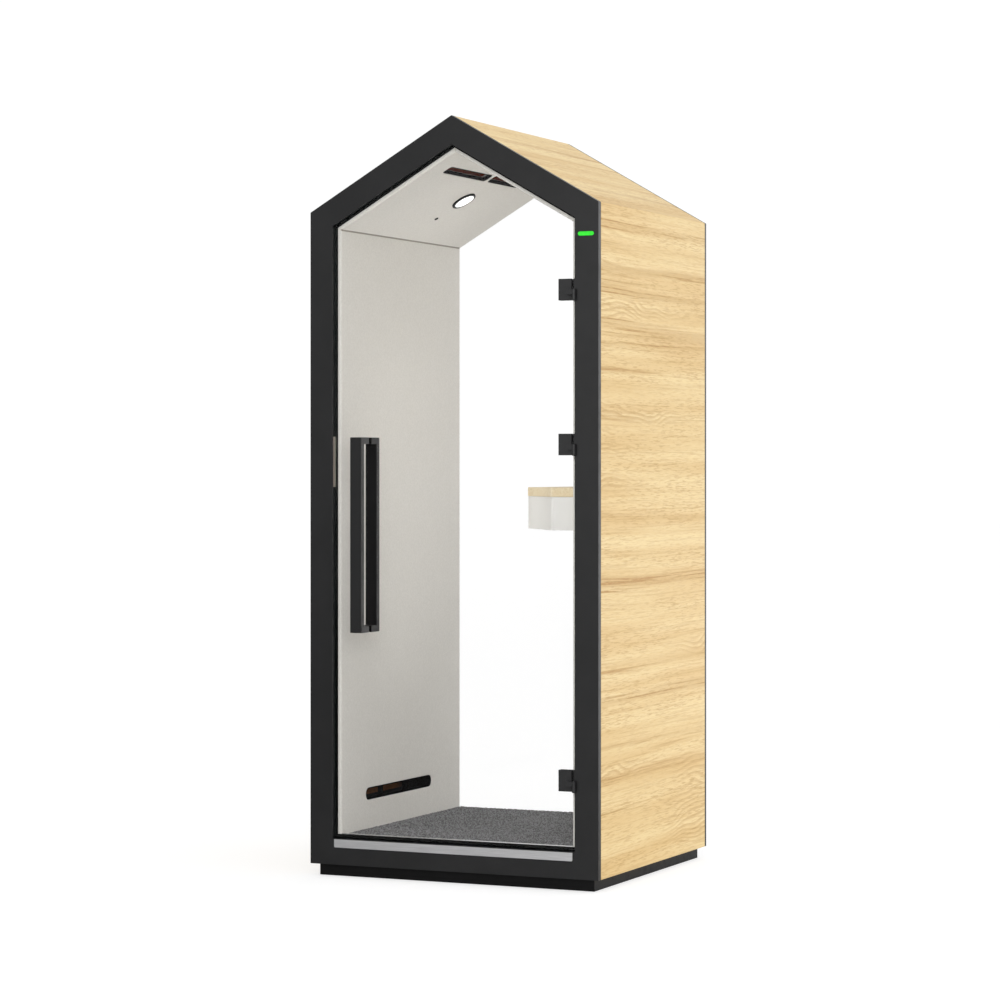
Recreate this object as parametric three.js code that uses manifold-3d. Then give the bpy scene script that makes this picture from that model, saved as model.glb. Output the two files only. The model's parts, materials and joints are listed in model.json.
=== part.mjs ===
// Acoustic phone booth for an office, shaped like a small house with a glass door.
// Millimetres, +Z up, front towards -Y, origin on the floor at the middle of the booth's box.
// Inside the booth group, y = 0 is the front face of the front frame and z = 0 is the floor.
import * as THREE from 'three';
import { mergeVertices } from 'three/addons/utils/BufferGeometryUtils.js';
import Module from 'manifold-3d';

const wasm = await Module();
wasm.setup();

// Fits and facets
const FIT = 0.3;
const WELD = 1e-4;
const ARC_STEPS = 4;
const TURN_STEPS = 24;
const BORE_STEPS = 12;
const OVERCUT = 1;

// House shell: an oak skin, an absorbing core and an upholstered liner, wrapped round walls and roof
const WIDTH = 960;
const DEPTH = 900;
const EAVE_HEIGHT = 2040;
const PITCH_DEG = 30;
const SKIN_T = 18;
const CORE_T = 58;
const LINER_T = 18;
const LINER_EDGE_R = 7;

// Front and rear frames
const FRAME_T = 20;
const REAR_FRAME_T = 23;
const REAR_LAP = 10;
const BOTTOM_RAIL = 80;
const REAR_GLASS_T = 8;
const REAR_GLASS_BITE = 14;
const GASKET_T = 3;
const GASKET_WIDTH = 12;

// Plinth, levelling feet and floor
const PLINTH_HEIGHT = 38;
const PLINTH_INSET = 22;
const PLINTH_BOARD = 18;
const FLOOR_GAP = 2;
const BASE_T = 62;
const DECK_T = 20;
const CARPET_T = 10;
const TRIM_LEG = 3;
const TRIM_LIP = 9;
const TRIM_LIP_T = 1.5;
const FOOT_CORNER = 42;
const FOOT_PAD_R = 25;
const FOOT_PAD_T = 9;
const FOOT_STEM_R = 5;
const FOOT_STEM_TOP = 82;
const FOOT_BORE_TOP = 90;
const GLAND_R = 8;
const GLAND_BORE_R = 4;
const GLAND_FLANGE_R = 12;
const GLAND_FLANGE_T = 5;
const GLAND_FROM_SIDE = 160;

// Door, seal and catch
const DOOR_SETBACK = 8;
const DOOR_T = 10;
const DOOR_GAP = 4;
const SEAL_T = 8;
const SEAL_WIDTH = 6.5;
const SEAL_SILL = 12;
const CATCH_LENGTH = 154;
const CATCH_CENTRE = 1273;
const CATCH_WIDTH = 12;
const CATCH_T = 3;
const KEEPER_T = 1.2;
const KEEPER_WIDTH = 8;

// Pull handles, back to back through the glass
const HANDLE_FROM_JAMB = 86;
const HANDLE_WIDTH = 38;
const HANDLE_LENGTH = 595;
const HANDLE_CENTRE = 1050;
const HANDLE_PROJECTION = 53;
const INNER_PROJECTION = 54;
const HANDLE_GRIP_T = 20;
const HANDLE_ARM_T = 20;
const HANDLE_CORNER_R = 3;
const COLLAR_R = 9;
const COLLAR_T = 3;
const STUD_R = 4;
const STUD_BITE = 30;
const STUD_HOLE_R = 6;

// Door hinges: clamp plates on the glass, a leaf on the jamb and a split barrel on a pin
const HINGE_CENTRES = { bottom: 328, middle: 1324, top: 1783 };
const CLAMP_WIDTH = 42;
const CLAMP_HEIGHT = 64;
const CLAMP_T = 4;
const CLAMP_EDGE = 8;
const BARREL_R = 6;
const BARREL_LENGTH = 32;
const BARREL_CLEAR = 1.5;
const ARM_T = 8;
const ARM_REACH = 12;
const LEAF_T = 3;
const LEAF_DEPTH = 17;
const LEAF_SETBACK = 1;
const PIN_R = 3;
const PIN_HEAD_R = 4.5;
const PIN_HEAD_T = 1.5;

// Strip on the bottom rail and the occupancy light on the right stile
const STRIP_END_GAP = 7;
const STRIP_DROP = 1.5;
const STRIP_HEIGHT = 25.5;
const STRIP_T = 2;
const STRIP_CORNER_R = 4;
const LAMP_FROM_JAMB = 35.6;
const LAMP_LENGTH = 51;
const LAMP_HEIGHT = 12;
const LAMP_CENTRE = 1947;
const LAMP_LENS_T = 6;
const LAMP_PROUD = 0.6;

// Air vents
const WALL_VENT_START = 192;
const WALL_VENT_LENGTH = 470;
const WALL_VENT_HEIGHT = 38.5;
const WALL_VENT_CENTRE = 235;
const WALL_VENT_DIVIDERS = [115, 289];
const DIVIDER_T = 7;
const VENT_RIM = 3;
const VENT_RECESS = 2;
const WALL_VENT_POCKET = 30;
const ROOF_VENT_START = 121;
const ROOF_VENT_LENGTH = 311;
const ROOF_VENT_WIDTH = 37;
const ROOF_VENT_PITCH = 326;
const ROOF_VENT_FROM_RIDGE = 85;
const ROOF_VENT_CORNER_R = 12;
const ROOF_VENT_RIM = 5;
const ROOF_VENT_RECESS = 1;
const ROOF_VENT_T = 11;
const PLENUM_DEPTH = 22;

// Fans behind the roof vents
const FAN_SIZE = 120;
const FAN_T = 25;
const FAN_BORE_R = 57;
const FAN_CORNER_R = 6;
const FAN_HUB_R = 20;
const FAN_STRUTS = 4;
const FAN_STRUT_WIDTH = 6;
const FAN_PLATE_T = 4;
const FAN_SHAFT_R = 2.5;
const FAN_BLADES = 7;
const FAN_BLADE_TIP_R = 55;
const FAN_BLADE_CHORD = 24;
const FAN_BLADE_T = 1.6;
const FAN_BLADE_PITCH_DEG = 35;
const FAN_ROTOR_SETBACK = 2;
const FAN_ROTOR_GAP = 1;

// Ceiling light, presence sensor and power supply
const LIGHT_FROM_RIDGE = 208;
const LIGHT_Y = 469;
const LIGHT_R = 37;
const LIGHT_RIM_R = 40.5;
const LIGHT_PROUD = 5;
const LIGHT_DEPTH = 45;
const LIGHT_WALL = 2;
const DIFFUSER_R = 38.5;
const DIFFUSER_T = 3;
const SENSOR_FROM_RIDGE = 318;
const SENSOR_Y = 467;
const SENSOR_R = 7;
const SENSOR_RIM = 1;
const SENSOR_SHOULDER_R = 4.7;
const SENSOR_SHOULDER = 2.5;
const SENSOR_DOME = 3;
const SENSOR_STEM_R = 5;
const SENSOR_STEM = 14;
const SUPPLY_FROM_RIDGE = 330;
const SUPPLY_Y = 700;
const SUPPLY_LENGTH = 160;
const SUPPLY_WIDTH = 60;
const SUPPLY_T = 40;

// Standing shelf on the right wall
const SHELF_HEIGHT = 1195;
const SHELF_TOP_T = 27;
const SHELF_BOX_HEIGHT = 100;
const SHELF_REACH = 268;
const SHELF_END_REACH = 84;
const SHELF_END_MARGIN = 34;
const SHELF_TAPER = 240;
const SHELF_CORNER_R = 20;
const SHELF_BOX_INSET = 1;
const SHELF_BOX_WALL = 12;

// Levels and planes worked out from the sizes above
const PITCH = THREE.MathUtils.degToRad(PITCH_DEG);
const FRAME_FACE = SKIN_T + CORE_T;
const LINER_FACE = FRAME_FACE + LINER_T;
const BASE_TOP = PLINTH_HEIGHT + BASE_T;
const DECK_TOP = BASE_TOP + DECK_T;
const CARPET_TOP = DECK_TOP + CARPET_T;
const SILL = PLINTH_HEIGHT + BOTTOM_RAIL;
const REAR_Y = DEPTH - REAR_FRAME_T;
const DOOR_BACK = DOOR_SETBACK + DOOR_T;
const LINER_START = DOOR_BACK + SEAL_T;
const HANDLE_REACH = HANDLE_PROJECTION + COLLAR_T - DOOR_SETBACK;
const JAMB_X = WIDTH / 2 - FRAME_FACE;
const WALL_X = WIDTH / 2 - LINER_FACE;
const DOOR_EDGE_X = JAMB_X - DOOR_GAP;
const HINGE_Y = -BARREL_R - BARREL_CLEAR;

// Inset of a layer from the outside: its half width, eave height and ridge height
const halfWidth = (inset) => WIDTH / 2 - inset;
const eaveAt = (inset) => EAVE_HEIGHT - inset * (1 / Math.cos(PITCH) - Math.tan(PITCH));
const ridgeAt = (inset) => EAVE_HEIGHT + (WIDTH / 2) * Math.tan(PITCH) - inset / Math.cos(PITCH);

// A closed geometry as a solid that can be joined and cut
function solid(geometry) {
  const plain = geometry.clone();
  plain.deleteAttribute('normal');
  plain.deleteAttribute('uv');
  const merged = mergeVertices(plain, WELD);
  const corners = merged.index.array;
  const triangles = [];
  for (let i = 0; i < corners.length; i += 3) {
    const [a, b, c] = [corners[i], corners[i + 1], corners[i + 2]];
    if (a !== b && b !== c && c !== a) triangles.push(a, b, c);
  }
  const vertProperties = merged.attributes.position.array;
  const triVerts = new Uint32Array(triangles);
  return new wasm.Manifold(new wasm.Mesh({ numProp: 3, vertProperties, triVerts }));
}

function geometryOf(body) {
  const mesh = body.getMesh();
  const geometry = new THREE.BufferGeometry();
  geometry.setAttribute('position', new THREE.BufferAttribute(mesh.vertProperties, 3));
  geometry.setIndex(new THREE.BufferAttribute(mesh.triVerts, 1));
  geometry.computeVertexNormals();
  return geometry;
}

const cut = (base, ...tools) => geometryOf(tools.reduce((body, t) => body.subtract(solid(t)), solid(base)));
const join = (base, ...more) => geometryOf(more.reduce((body, m) => body.add(solid(m)), solid(base)));

// Outlines
const shapeOf = (points) => new THREE.Shape(points.map(([x, y]) => new THREE.Vector2(x, y)));

const houseOutline = (inset, bottom) => [
  [-halfWidth(inset), bottom],
  [halfWidth(inset), bottom],
  [halfWidth(inset), eaveAt(inset)],
  [0, ridgeAt(inset)],
  [-halfWidth(inset), eaveAt(inset)],
];

function houseRing(outerInset, outerBottom, innerInset, innerBottom) {
  const ring = shapeOf(houseOutline(outerInset, outerBottom));
  ring.holes.push(shapeOf(houseOutline(innerInset, innerBottom)));
  return ring;
}

// A polygon whose corners are rounded by true arcs, each corner by its own radius
function roundedPolygon(corners) {
  const shape = new THREE.Shape();
  corners.forEach(([x, y, radius], i) => {
    const at = new THREE.Vector2(x, y);
    const [px, py] = corners[(i + corners.length - 1) % corners.length];
    const [nx, ny] = corners[(i + 1) % corners.length];
    const back = new THREE.Vector2(px, py).sub(at).normalize();
    const ahead = new THREE.Vector2(nx, ny).sub(at).normalize();
    const half = Math.acos(back.dot(ahead)) / 2;
    const start = at.clone().addScaledVector(back, radius / Math.tan(half));
    const end = at.clone().addScaledVector(ahead, radius / Math.tan(half));
    const bisector = back.clone().add(ahead).normalize();
    const centre = at.clone().addScaledVector(bisector, radius / Math.sin(half));
    if (i === 0) shape.moveTo(start.x, start.y);
    else shape.lineTo(start.x, start.y);
    if (radius > 0) {
      const from = start.clone().sub(centre).angle();
      const to = end.clone().sub(centre).angle();
      shape.absarc(centre.x, centre.y, radius, from, to, back.cross(ahead) > 0);
    }
  });
  shape.closePath();
  return shape;
}

const roundedRect = (x0, y0, x1, y1, r) =>
  roundedPolygon([[x0, y0, r], [x1, y0, r], [x1, y1, r], [x0, y1, r]]);

// A slot with half-round ends, its long way along x
function stadium(x0, y0, x1, y1) {
  const r = (y1 - y0) / 2;
  const shape = new THREE.Shape();
  shape.absarc(x1 - r, y0 + r, r, -Math.PI / 2, Math.PI / 2);
  shape.absarc(x0 + r, y0 + r, r, Math.PI / 2, 1.5 * Math.PI);
  shape.closePath();
  return shape;
}

function circle(x, y, r) {
  const shape = new THREE.Shape();
  shape.absarc(x, y, r, 0, 2 * Math.PI);
  return shape;
}

// Solids drawn square to an axis
const extrude = (shape, depth, curveSegments = ARC_STEPS) =>
  new THREE.ExtrudeGeometry(shape, { depth, bevelEnabled: false, curveSegments });

const ALONG_X = new THREE.Matrix4().makeBasis(
  new THREE.Vector3(0, 1, 0),
  new THREE.Vector3(0, 0, 1),
  new THREE.Vector3(1, 0, 0),
);
const prismX = (shape, from, to) => extrude(shape, to - from).applyMatrix4(ALONG_X).translate(from, 0, 0);
const prismY = (shape, from, to) => extrude(shape, to - from).rotateX(Math.PI / 2).translate(0, to, 0);
const prismZ = (shape, from, to) => extrude(shape, to - from).translate(0, 0, from);

function box([x0, x1], [y0, y1], [z0, z1]) {
  const block = new THREE.BoxGeometry(x1 - x0, y1 - y0, z1 - z0);
  return block.translate((x0 + x1) / 2, (y0 + y1) / 2, (z0 + z1) / 2);
}

// A turned piece round the Z axis, and plain round bars along Z and Y
function turned(profile) {
  const points = profile.map(([r, z]) => new THREE.Vector2(r, z));
  return new THREE.LatheGeometry(points, TURN_STEPS).rotateX(Math.PI / 2);
}
const barZ = (x, y, r, from, to) => turned([[0, from], [r, from], [r, to], [0, to]]).translate(x, y, 0);
const barY = (x, z, r, from, to) => barZ(0, 0, r, -to, -from).rotateX(Math.PI / 2).translate(x, 0, z);

// Finishes
const finish = (color, roughness, metalness = 0) =>
  new THREE.MeshStandardMaterial({ color, roughness, metalness });
const BLACK_LAMINATE = [0x2e2e2f, 0.55];
const BLACK_PLASTIC = [0x161616, 0.5];
const BLACK_METAL = [0x39393a, 0.45, 0.6];
const RUBBER = [0x0d0d0d, 0.8];
const OAK = [0xe6c78f, 0.5];
const FELT = [0xc8c5be, 0.95];
const WOOD_FIBRE = [0x5a3519, 0.95];
const CLEAR_GLASS = [0xf2f6f5, 0.05];
const BRIGHT_METAL = [0xb9b9ba, 0.35, 0.9];
const SATIN_STEEL = [0x97908a, 0.35, 0.9];
const BASE_BOARD = [0x4a4038, 0.85];
const DECK_BOARD = [0x6b5b48, 0.8];
const CARPET_PILE = [0x5f5f60, 1];
const GREEN_LENS = [0x35ff35, 0.3];
const DIFFUSER_WHITE = [0xffffff, 0.4];
const SUPPLY_CASE = [0x8f8f92, 0.5];
const SHELF_PAINT = [0xe0dfda, 0.6];

const booth = new THREE.Group();
booth.position.y = (HANDLE_REACH - DEPTH) / 2;

function add(parent, name, geometry, look) {
  const mesh = new THREE.Mesh(geometryOf(solid(geometry)), finish(...look));
  mesh.name = name;
  parent.add(mesh);
}

const SIDES = [['left', -1], ['right', 1]];

// Frame of one ceiling slope: x runs down from the ridge, z points into the cabin from the liner's face
const slopeOf = (side) => new THREE.Matrix4().makeBasis(
  new THREE.Vector3(side * Math.cos(PITCH), 0, -Math.sin(PITCH)),
  new THREE.Vector3(0, -side, 0),
  new THREE.Vector3(-side * Math.sin(PITCH), 0, -Math.cos(PITCH)),
).setPosition(0, 0, ridgeAt(LINER_FACE));
const LEFT_SLOPE = slopeOf(-1);
const onLeftSlope = (geometry) => geometry.applyMatrix4(LEFT_SLOPE);

// Plinth: four boards in a ring, with the power gland's hole in the rear board
const plinthX = WIDTH / 2 - PLINTH_INSET;
const plinthRear = DEPTH - PLINTH_INSET;
const glandX = -plinthX + GLAND_FROM_SIDE;
const glandZ = (FLOOR_GAP + PLINTH_HEIGHT) / 2;
function plinthFrame() {
  const ring = shapeOf([
    [-plinthX, PLINTH_INSET], [plinthX, PLINTH_INSET], [plinthX, plinthRear], [-plinthX, plinthRear],
  ]);
  const inX = plinthX - PLINTH_BOARD;
  const inFront = PLINTH_INSET + PLINTH_BOARD;
  const inRear = plinthRear - PLINTH_BOARD;
  ring.holes.push(shapeOf([[-inX, inFront], [inX, inFront], [inX, inRear], [-inX, inRear]]));
  const hole = barY(glandX, glandZ, GLAND_R + FIT, inRear - OVERCUT, plinthRear + OVERCUT);
  return cut(prismZ(ring, FLOOR_GAP, PLINTH_HEIGHT), hole);
}
add(booth, 'plinth_frame', plinthFrame(), BLACK_LAMINATE);

// Power gland: a flanged sleeve in the plinth's rear board
const glandProfile = [
  [GLAND_BORE_R, -PLINTH_BOARD], [GLAND_R, -PLINTH_BOARD], [GLAND_R, FIT], [GLAND_FLANGE_R, FIT],
  [GLAND_FLANGE_R, GLAND_FLANGE_T], [GLAND_BORE_R, GLAND_FLANGE_T], [GLAND_BORE_R, -PLINTH_BOARD],
];
const gland = turned(glandProfile).rotateX(-Math.PI / 2).translate(glandX, plinthRear, glandZ);
add(booth, 'power_gland', gland, BLACK_PLASTIC);

// Base panel with a bore for each levelling foot, then the deck, the carpet and its edge trim
const footX = plinthX - PLINTH_BOARD - FOOT_CORNER;
const footFront = PLINTH_INSET + PLINTH_BOARD + FOOT_CORNER;
const footRear = plinthRear - PLINTH_BOARD - FOOT_CORNER;
const FEET = {
  front_left: [-footX, footFront],
  front_right: [footX, footFront],
  rear_left: [-footX, footRear],
  rear_right: [footX, footRear],
};
const panelX = halfWidth(SKIN_T) - FIT;
const bodyFront = FRAME_T + FIT;
const bodyRear = REAR_Y - FIT;
const basePanel = box([-panelX, panelX], [bodyFront, bodyRear], [PLINTH_HEIGHT + FIT, BASE_TOP]);
const bores = Object.values(FEET).map(([x, y]) =>
  barZ(x, y, FOOT_STEM_R + FIT, PLINTH_HEIGHT - OVERCUT, FOOT_BORE_TOP));
add(booth, 'base_panel', cut(basePanel, ...bores), BASE_BOARD);

const footProfile = [
  [0, 0], [FOOT_PAD_R, 0], [FOOT_PAD_R, FOOT_PAD_T / 2], [FOOT_STEM_R + FOOT_PAD_T, FOOT_PAD_T],
  [FOOT_STEM_R, FOOT_PAD_T], [FOOT_STEM_R, FOOT_STEM_TOP], [0, FOOT_STEM_TOP],
];
for (const [corner, [x, y]] of Object.entries(FEET)) {
  add(booth, `levelling_foot_${corner}`, turned(footProfile).translate(x, y, 0), BLACK_PLASTIC);
}

const deckX = WALL_X - FIT;
const deckFront = LINER_START + TRIM_LEG + FIT;
const floorSheet = (from, to) => box([-deckX, deckX], [deckFront, bodyRear], [from + FIT, to]);
add(booth, 'floor_deck', floorSheet(BASE_TOP, DECK_TOP), DECK_BOARD);
add(booth, 'carpet', floorSheet(DECK_TOP, CARPET_TOP), CARPET_PILE);
const trimLip = CARPET_TOP + FIT;
const trimSection = shapeOf([
  [LINER_START, BASE_TOP + FIT], [LINER_START + TRIM_LEG, BASE_TOP + FIT], [LINER_START + TRIM_LEG, trimLip],
  [LINER_START + TRIM_LIP, trimLip], [LINER_START + TRIM_LIP, trimLip + TRIM_LIP_T],
  [LINER_START, trimLip + TRIM_LIP_T],
]);
add(booth, 'floor_edge_trim', prismX(trimSection, -deckX, deckX), BRIGHT_METAL);

// Front frame, with the catch plate's pocket in the left jamb and the lamp's slot in the right stile
const catchY = [DOOR_BACK - CATCH_WIDTH + OVERCUT, DOOR_BACK + OVERCUT];
const catchZ = [CATCH_CENTRE - CATCH_LENGTH / 2, CATCH_CENTRE + CATCH_LENGTH / 2];
const grow = ([a, b], by) => [a - by, b + by];
const lampX = JAMB_X + LAMP_FROM_JAMB;
const capsule = (margin) => stadium(
  lampX - LAMP_LENGTH / 2 - margin,
  LAMP_CENTRE - LAMP_HEIGHT / 2 - margin,
  lampX + LAMP_LENGTH / 2 + margin,
  LAMP_CENTRE + LAMP_HEIGHT / 2 + margin,
);
function frontFrame() {
  const ring = prismY(houseRing(0, PLINTH_HEIGHT, FRAME_FACE, SILL), 0, FRAME_T);
  const pocketX = [-JAMB_X - CATCH_T - FIT, -JAMB_X + OVERCUT];
  const pocket = box(pocketX, grow(catchY, FIT), grow(catchZ, FIT));
  return cut(ring, pocket, prismY(capsule(FIT), -OVERCUT, FRAME_T + OVERCUT));
}
add(booth, 'front_frame', frontFrame(), BLACK_LAMINATE);
add(booth, 'catch_plate', box([-JAMB_X - CATCH_T, -JAMB_X], catchY, catchZ), SATIN_STEEL);
add(booth, 'indicator_lens', prismY(capsule(0), -LAMP_PROUD, LAMP_LENS_T), GREEN_LENS);
add(booth, 'indicator_housing', prismY(capsule(0), LAMP_LENS_T + FIT, FRAME_T), BLACK_PLASTIC);

// Brushed strip along the face of the bottom rail
const stripX = JAMB_X - STRIP_END_GAP;
const stripTop = SILL - STRIP_DROP;
const stripBottom = stripTop - STRIP_HEIGHT;
const stripOutline = roundedPolygon([
  [-stripX, stripBottom, STRIP_CORNER_R], [stripX, stripBottom, STRIP_CORNER_R],
  [stripX, stripTop, 0], [-stripX, stripTop, 0],
]);
add(booth, 'threshold_strip', prismY(stripOutline, -FIT - STRIP_T, -FIT), BRIGHT_METAL);

// Rear frame: a tongue inside the oak skin, a plate the skin runs up to, and a rebate for glass and gasket
const glassInset = FRAME_FACE - REAR_GLASS_BITE;
const glassBottom = SILL - REAR_GLASS_BITE;
const rebateFloor = REAR_Y + REAR_GLASS_T + GASKET_T + 2 * FIT;
const skinRear = REAR_Y + REAR_LAP;
const rearRing = (inset, from, to) => prismY(houseRing(inset, PLINTH_HEIGHT, FRAME_FACE, SILL), from, to);
const rearTongue = rearRing(SKIN_T + FIT, REAR_Y, skinRear + OVERCUT);
const rearPlate = join(rearRing(0, skinRear, DEPTH), rearTongue);
const rebateOutline = shapeOf(houseOutline(glassInset - FIT, glassBottom - FIT));
const rebate = prismY(rebateOutline, REAR_Y - OVERCUT, rebateFloor);
add(booth, 'rear_frame', cut(rearPlate, rebate), BLACK_LAMINATE);
const rearPane = prismY(shapeOf(houseOutline(glassInset, glassBottom)), REAR_Y, REAR_Y + REAR_GLASS_T);
add(booth, 'rear_glass', rearPane, CLEAR_GLASS);
const gasket = houseRing(glassInset, glassBottom, glassInset + GASKET_WIDTH, glassBottom + GASKET_WIDTH);
const gasketY = REAR_Y + REAR_GLASS_T + FIT;
add(booth, 'rear_glazing_seal', prismY(gasket, gasketY, gasketY + GASKET_T), RUBBER);

// Sections of one layer of a wall or a roof slope, mitred at the eave and met at the ridge
function wallSection(side, outer, inner, bottom) {
  const points = [
    [halfWidth(outer), bottom], [halfWidth(outer), eaveAt(outer) - FIT],
    [halfWidth(inner), eaveAt(inner) - FIT], [halfWidth(inner), bottom],
  ];
  return shapeOf(points.map(([x, z]) => [side * x, z]));
}

function roofSection(side, outer, inner) {
  const drop = (FIT / 2) * Math.tan(PITCH);
  const points = [
    [halfWidth(outer), eaveAt(outer)], [FIT / 2, ridgeAt(outer) - drop],
    [FIT / 2, ridgeAt(inner) - drop], [halfWidth(inner), eaveAt(inner)],
  ];
  return shapeOf(points.map(([x, z]) => [side * x, z]));
}

// Oak skin
for (const [hand, side] of SIDES) {
  const skinY = [bodyFront, skinRear - FIT];
  const wall = prismY(wallSection(side, 0, SKIN_T, PLINTH_HEIGHT), ...skinY);
  add(booth, `${hand}_side_panel`, wall, OAK);
  add(booth, `${hand}_roof_panel`, prismY(roofSection(side, 0, SKIN_T), ...skinY), OAK);
}

// Wall vent: a stadium insert with two dividers, in a slot of the left liner
const wallVentEnd = WALL_VENT_START + WALL_VENT_LENGTH;
const wallVentOutline = (margin) => stadium(
  WALL_VENT_START - margin,
  WALL_VENT_CENTRE - WALL_VENT_HEIGHT / 2 - margin,
  wallVentEnd + margin,
  WALL_VENT_CENTRE + WALL_VENT_HEIGHT / 2 + margin,
);
function wallVentInsert() {
  const [back, front] = [-JAMB_X, -WALL_X - VENT_RECESS];
  const rim = wallVentOutline(-FIT);
  rim.holes.push(wallVentOutline(-FIT - VENT_RIM));
  const reach = WALL_VENT_HEIGHT / 2 - FIT - VENT_RIM / 2;
  const dividers = WALL_VENT_DIVIDERS.map((from) => {
    const y = WALL_VENT_START + from;
    return box([back, front], [y, y + DIVIDER_T], [WALL_VENT_CENTRE - reach, WALL_VENT_CENTRE + reach]);
  });
  return join(prismX(rim, back, front), ...dividers);
}
add(booth, 'wall_vent', wallVentInsert(), BLACK_PLASTIC);

// Roof vents: two slots in line beside the ridge, drawn in the slope's own frame
const ROOF_VENTS = { front: ROOF_VENT_START, rear: ROOF_VENT_START + ROOF_VENT_PITCH };
const roofVentOutline = (start, margin) => roundedRect(
  ROOF_VENT_FROM_RIDGE - ROOF_VENT_WIDTH / 2 - margin,
  start - margin,
  ROOF_VENT_FROM_RIDGE + ROOF_VENT_WIDTH / 2 + margin,
  start + ROOF_VENT_LENGTH + margin,
  ROOF_VENT_CORNER_R + margin,
);
const ventStarts = Object.values(ROOF_VENTS);
const fanCentre = (start) => start + ROOF_VENT_LENGTH / 2;
const plenumTop = -LINER_T - PLENUM_DEPTH;
const coreBack = -LINER_T - CORE_T;

// Absorbing core, hollowed for the vents, fans, light and power supply on the left
function leftWallCore() {
  const slab = prismY(wallSection(-1, SKIN_T + FIT, FRAME_FACE - FIT, BASE_TOP + FIT), bodyFront, bodyRear);
  return cut(slab, prismX(wallVentOutline(0), -JAMB_X - WALL_VENT_POCKET, -JAMB_X + OVERCUT));
}

function leftRoofCore() {
  const slab = prismY(roofSection(-1, SKIN_T + FIT, FRAME_FACE - FIT), bodyFront, bodyRear);
  const half = FAN_SIZE / 2 + FIT;
  const plenums = ventStarts.map((start) =>
    prismZ(roofVentOutline(start, 0), plenumTop - OVERCUT, -LINER_T + OVERCUT));
  const fanBays = ventStarts.map((start) => box(
    [ROOF_VENT_FROM_RIDGE - half, ROOF_VENT_FROM_RIDGE + half],
    [fanCentre(start) - half, fanCentre(start) + half],
    [coreBack - OVERCUT, plenumTop],
  ));
  const lightBay = barZ(LIGHT_FROM_RIDGE, LIGHT_Y, LIGHT_R + FIT, -LIGHT_DEPTH - FIT, 0);
  const supplyBay = box(
    grow([SUPPLY_FROM_RIDGE - SUPPLY_WIDTH / 2, SUPPLY_FROM_RIDGE + SUPPLY_WIDTH / 2], FIT),
    grow([SUPPLY_Y - SUPPLY_LENGTH / 2, SUPPLY_Y + SUPPLY_LENGTH / 2], FIT),
    [-LINER_T - SUPPLY_T - 2 * FIT, -LINER_T + OVERCUT],
  );
  return cut(slab, ...[...plenums, ...fanBays, lightBay, supplyBay].map(onLeftSlope));
}
add(booth, 'left_wall_core', leftWallCore(), WOOD_FIBRE);
add(booth, 'left_roof_core', leftRoofCore(), WOOD_FIBRE);
const rightCore = (section) => prismY(section, bodyFront, bodyRear);
const plainCore = [1, SKIN_T + FIT, FRAME_FACE - FIT];
add(booth, 'right_wall_core', rightCore(wallSection(...plainCore, BASE_TOP + FIT)), WOOD_FIBRE);
add(booth, 'right_roof_core', rightCore(roofSection(...plainCore)), WOOD_FIBRE);

// The waste outside a rounded edge: across is the way out of the face, along is the way into the panel
function edgeWaste(face, across, along) {
  const waste = new THREE.Shape();
  const arcX = face[0] - across * LINER_EDGE_R;
  const arcY = face[1] + along * LINER_EDGE_R;
  waste.moveTo(face[0] + across * OVERCUT, face[1] - along * OVERCUT);
  waste.lineTo(face[0] + across * OVERCUT, arcY);
  waste.lineTo(face[0], arcY);
  const from = across > 0 ? 0 : Math.PI;
  const to = along > 0 ? -Math.PI / 2 : Math.PI / 2;
  const clockwise = across * along > 0;
  waste.absarc(arcX, arcY, LINER_EDGE_R, from, to, clockwise);
  waste.lineTo(arcX, face[1] - along * OVERCUT);
  waste.closePath();
  return waste;
}

// Upholstered liners with rounded front edges, vent slots and holes for what the ceiling holds
const ACROSS_SLOPE = new THREE.Matrix4().makeBasis(
  new THREE.Vector3(0, 0, 1),
  new THREE.Vector3(0, 1, 0),
  new THREE.Vector3(-1, 0, 0),
);
function wallLiner(side) {
  const slab = prismY(wallSection(side, FRAME_FACE, LINER_FACE, BASE_TOP + FIT), LINER_START, bodyRear);
  return cut(slab, prismZ(edgeWaste([side * WALL_X, LINER_START], -side, 1), 0, EAVE_HEIGHT));
}

function ceilingLiner(side) {
  const slab = prismY(roofSection(side, FRAME_FACE, LINER_FACE), LINER_START, bodyRear);
  const section = edgeWaste([0, -side * LINER_START], 1, -side);
  const waste = extrude(section, WIDTH).applyMatrix4(ACROSS_SLOPE).translate(WIDTH - LINER_FACE, 0, 0);
  return cut(slab, waste.applyMatrix4(slopeOf(side)));
}

const wallSlot = prismX(wallVentOutline(0), -JAMB_X - OVERCUT, -WALL_X + OVERCUT);
const ceilingHoles = [
  ...ventStarts.map((start) => prismZ(roofVentOutline(start, 0), -LINER_T - OVERCUT, OVERCUT)),
  barZ(LIGHT_FROM_RIDGE, LIGHT_Y, LIGHT_R + FIT, -LINER_T - OVERCUT, OVERCUT),
  barZ(SENSOR_FROM_RIDGE, SENSOR_Y, SENSOR_STEM_R + FIT, -LINER_T - OVERCUT, OVERCUT),
].map(onLeftSlope);
add(booth, 'left_wall_liner', cut(wallLiner(-1), wallSlot), FELT);
add(booth, 'right_wall_liner', wallLiner(1), FELT);
add(booth, 'left_ceiling_liner', cut(ceilingLiner(-1), ...ceilingHoles), FELT);
add(booth, 'right_ceiling_liner', ceilingLiner(1), FELT);

// Everything the left ceiling slope holds
const ceiling = new THREE.Group();
ceiling.applyMatrix4(LEFT_SLOPE);
booth.add(ceiling);

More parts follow.
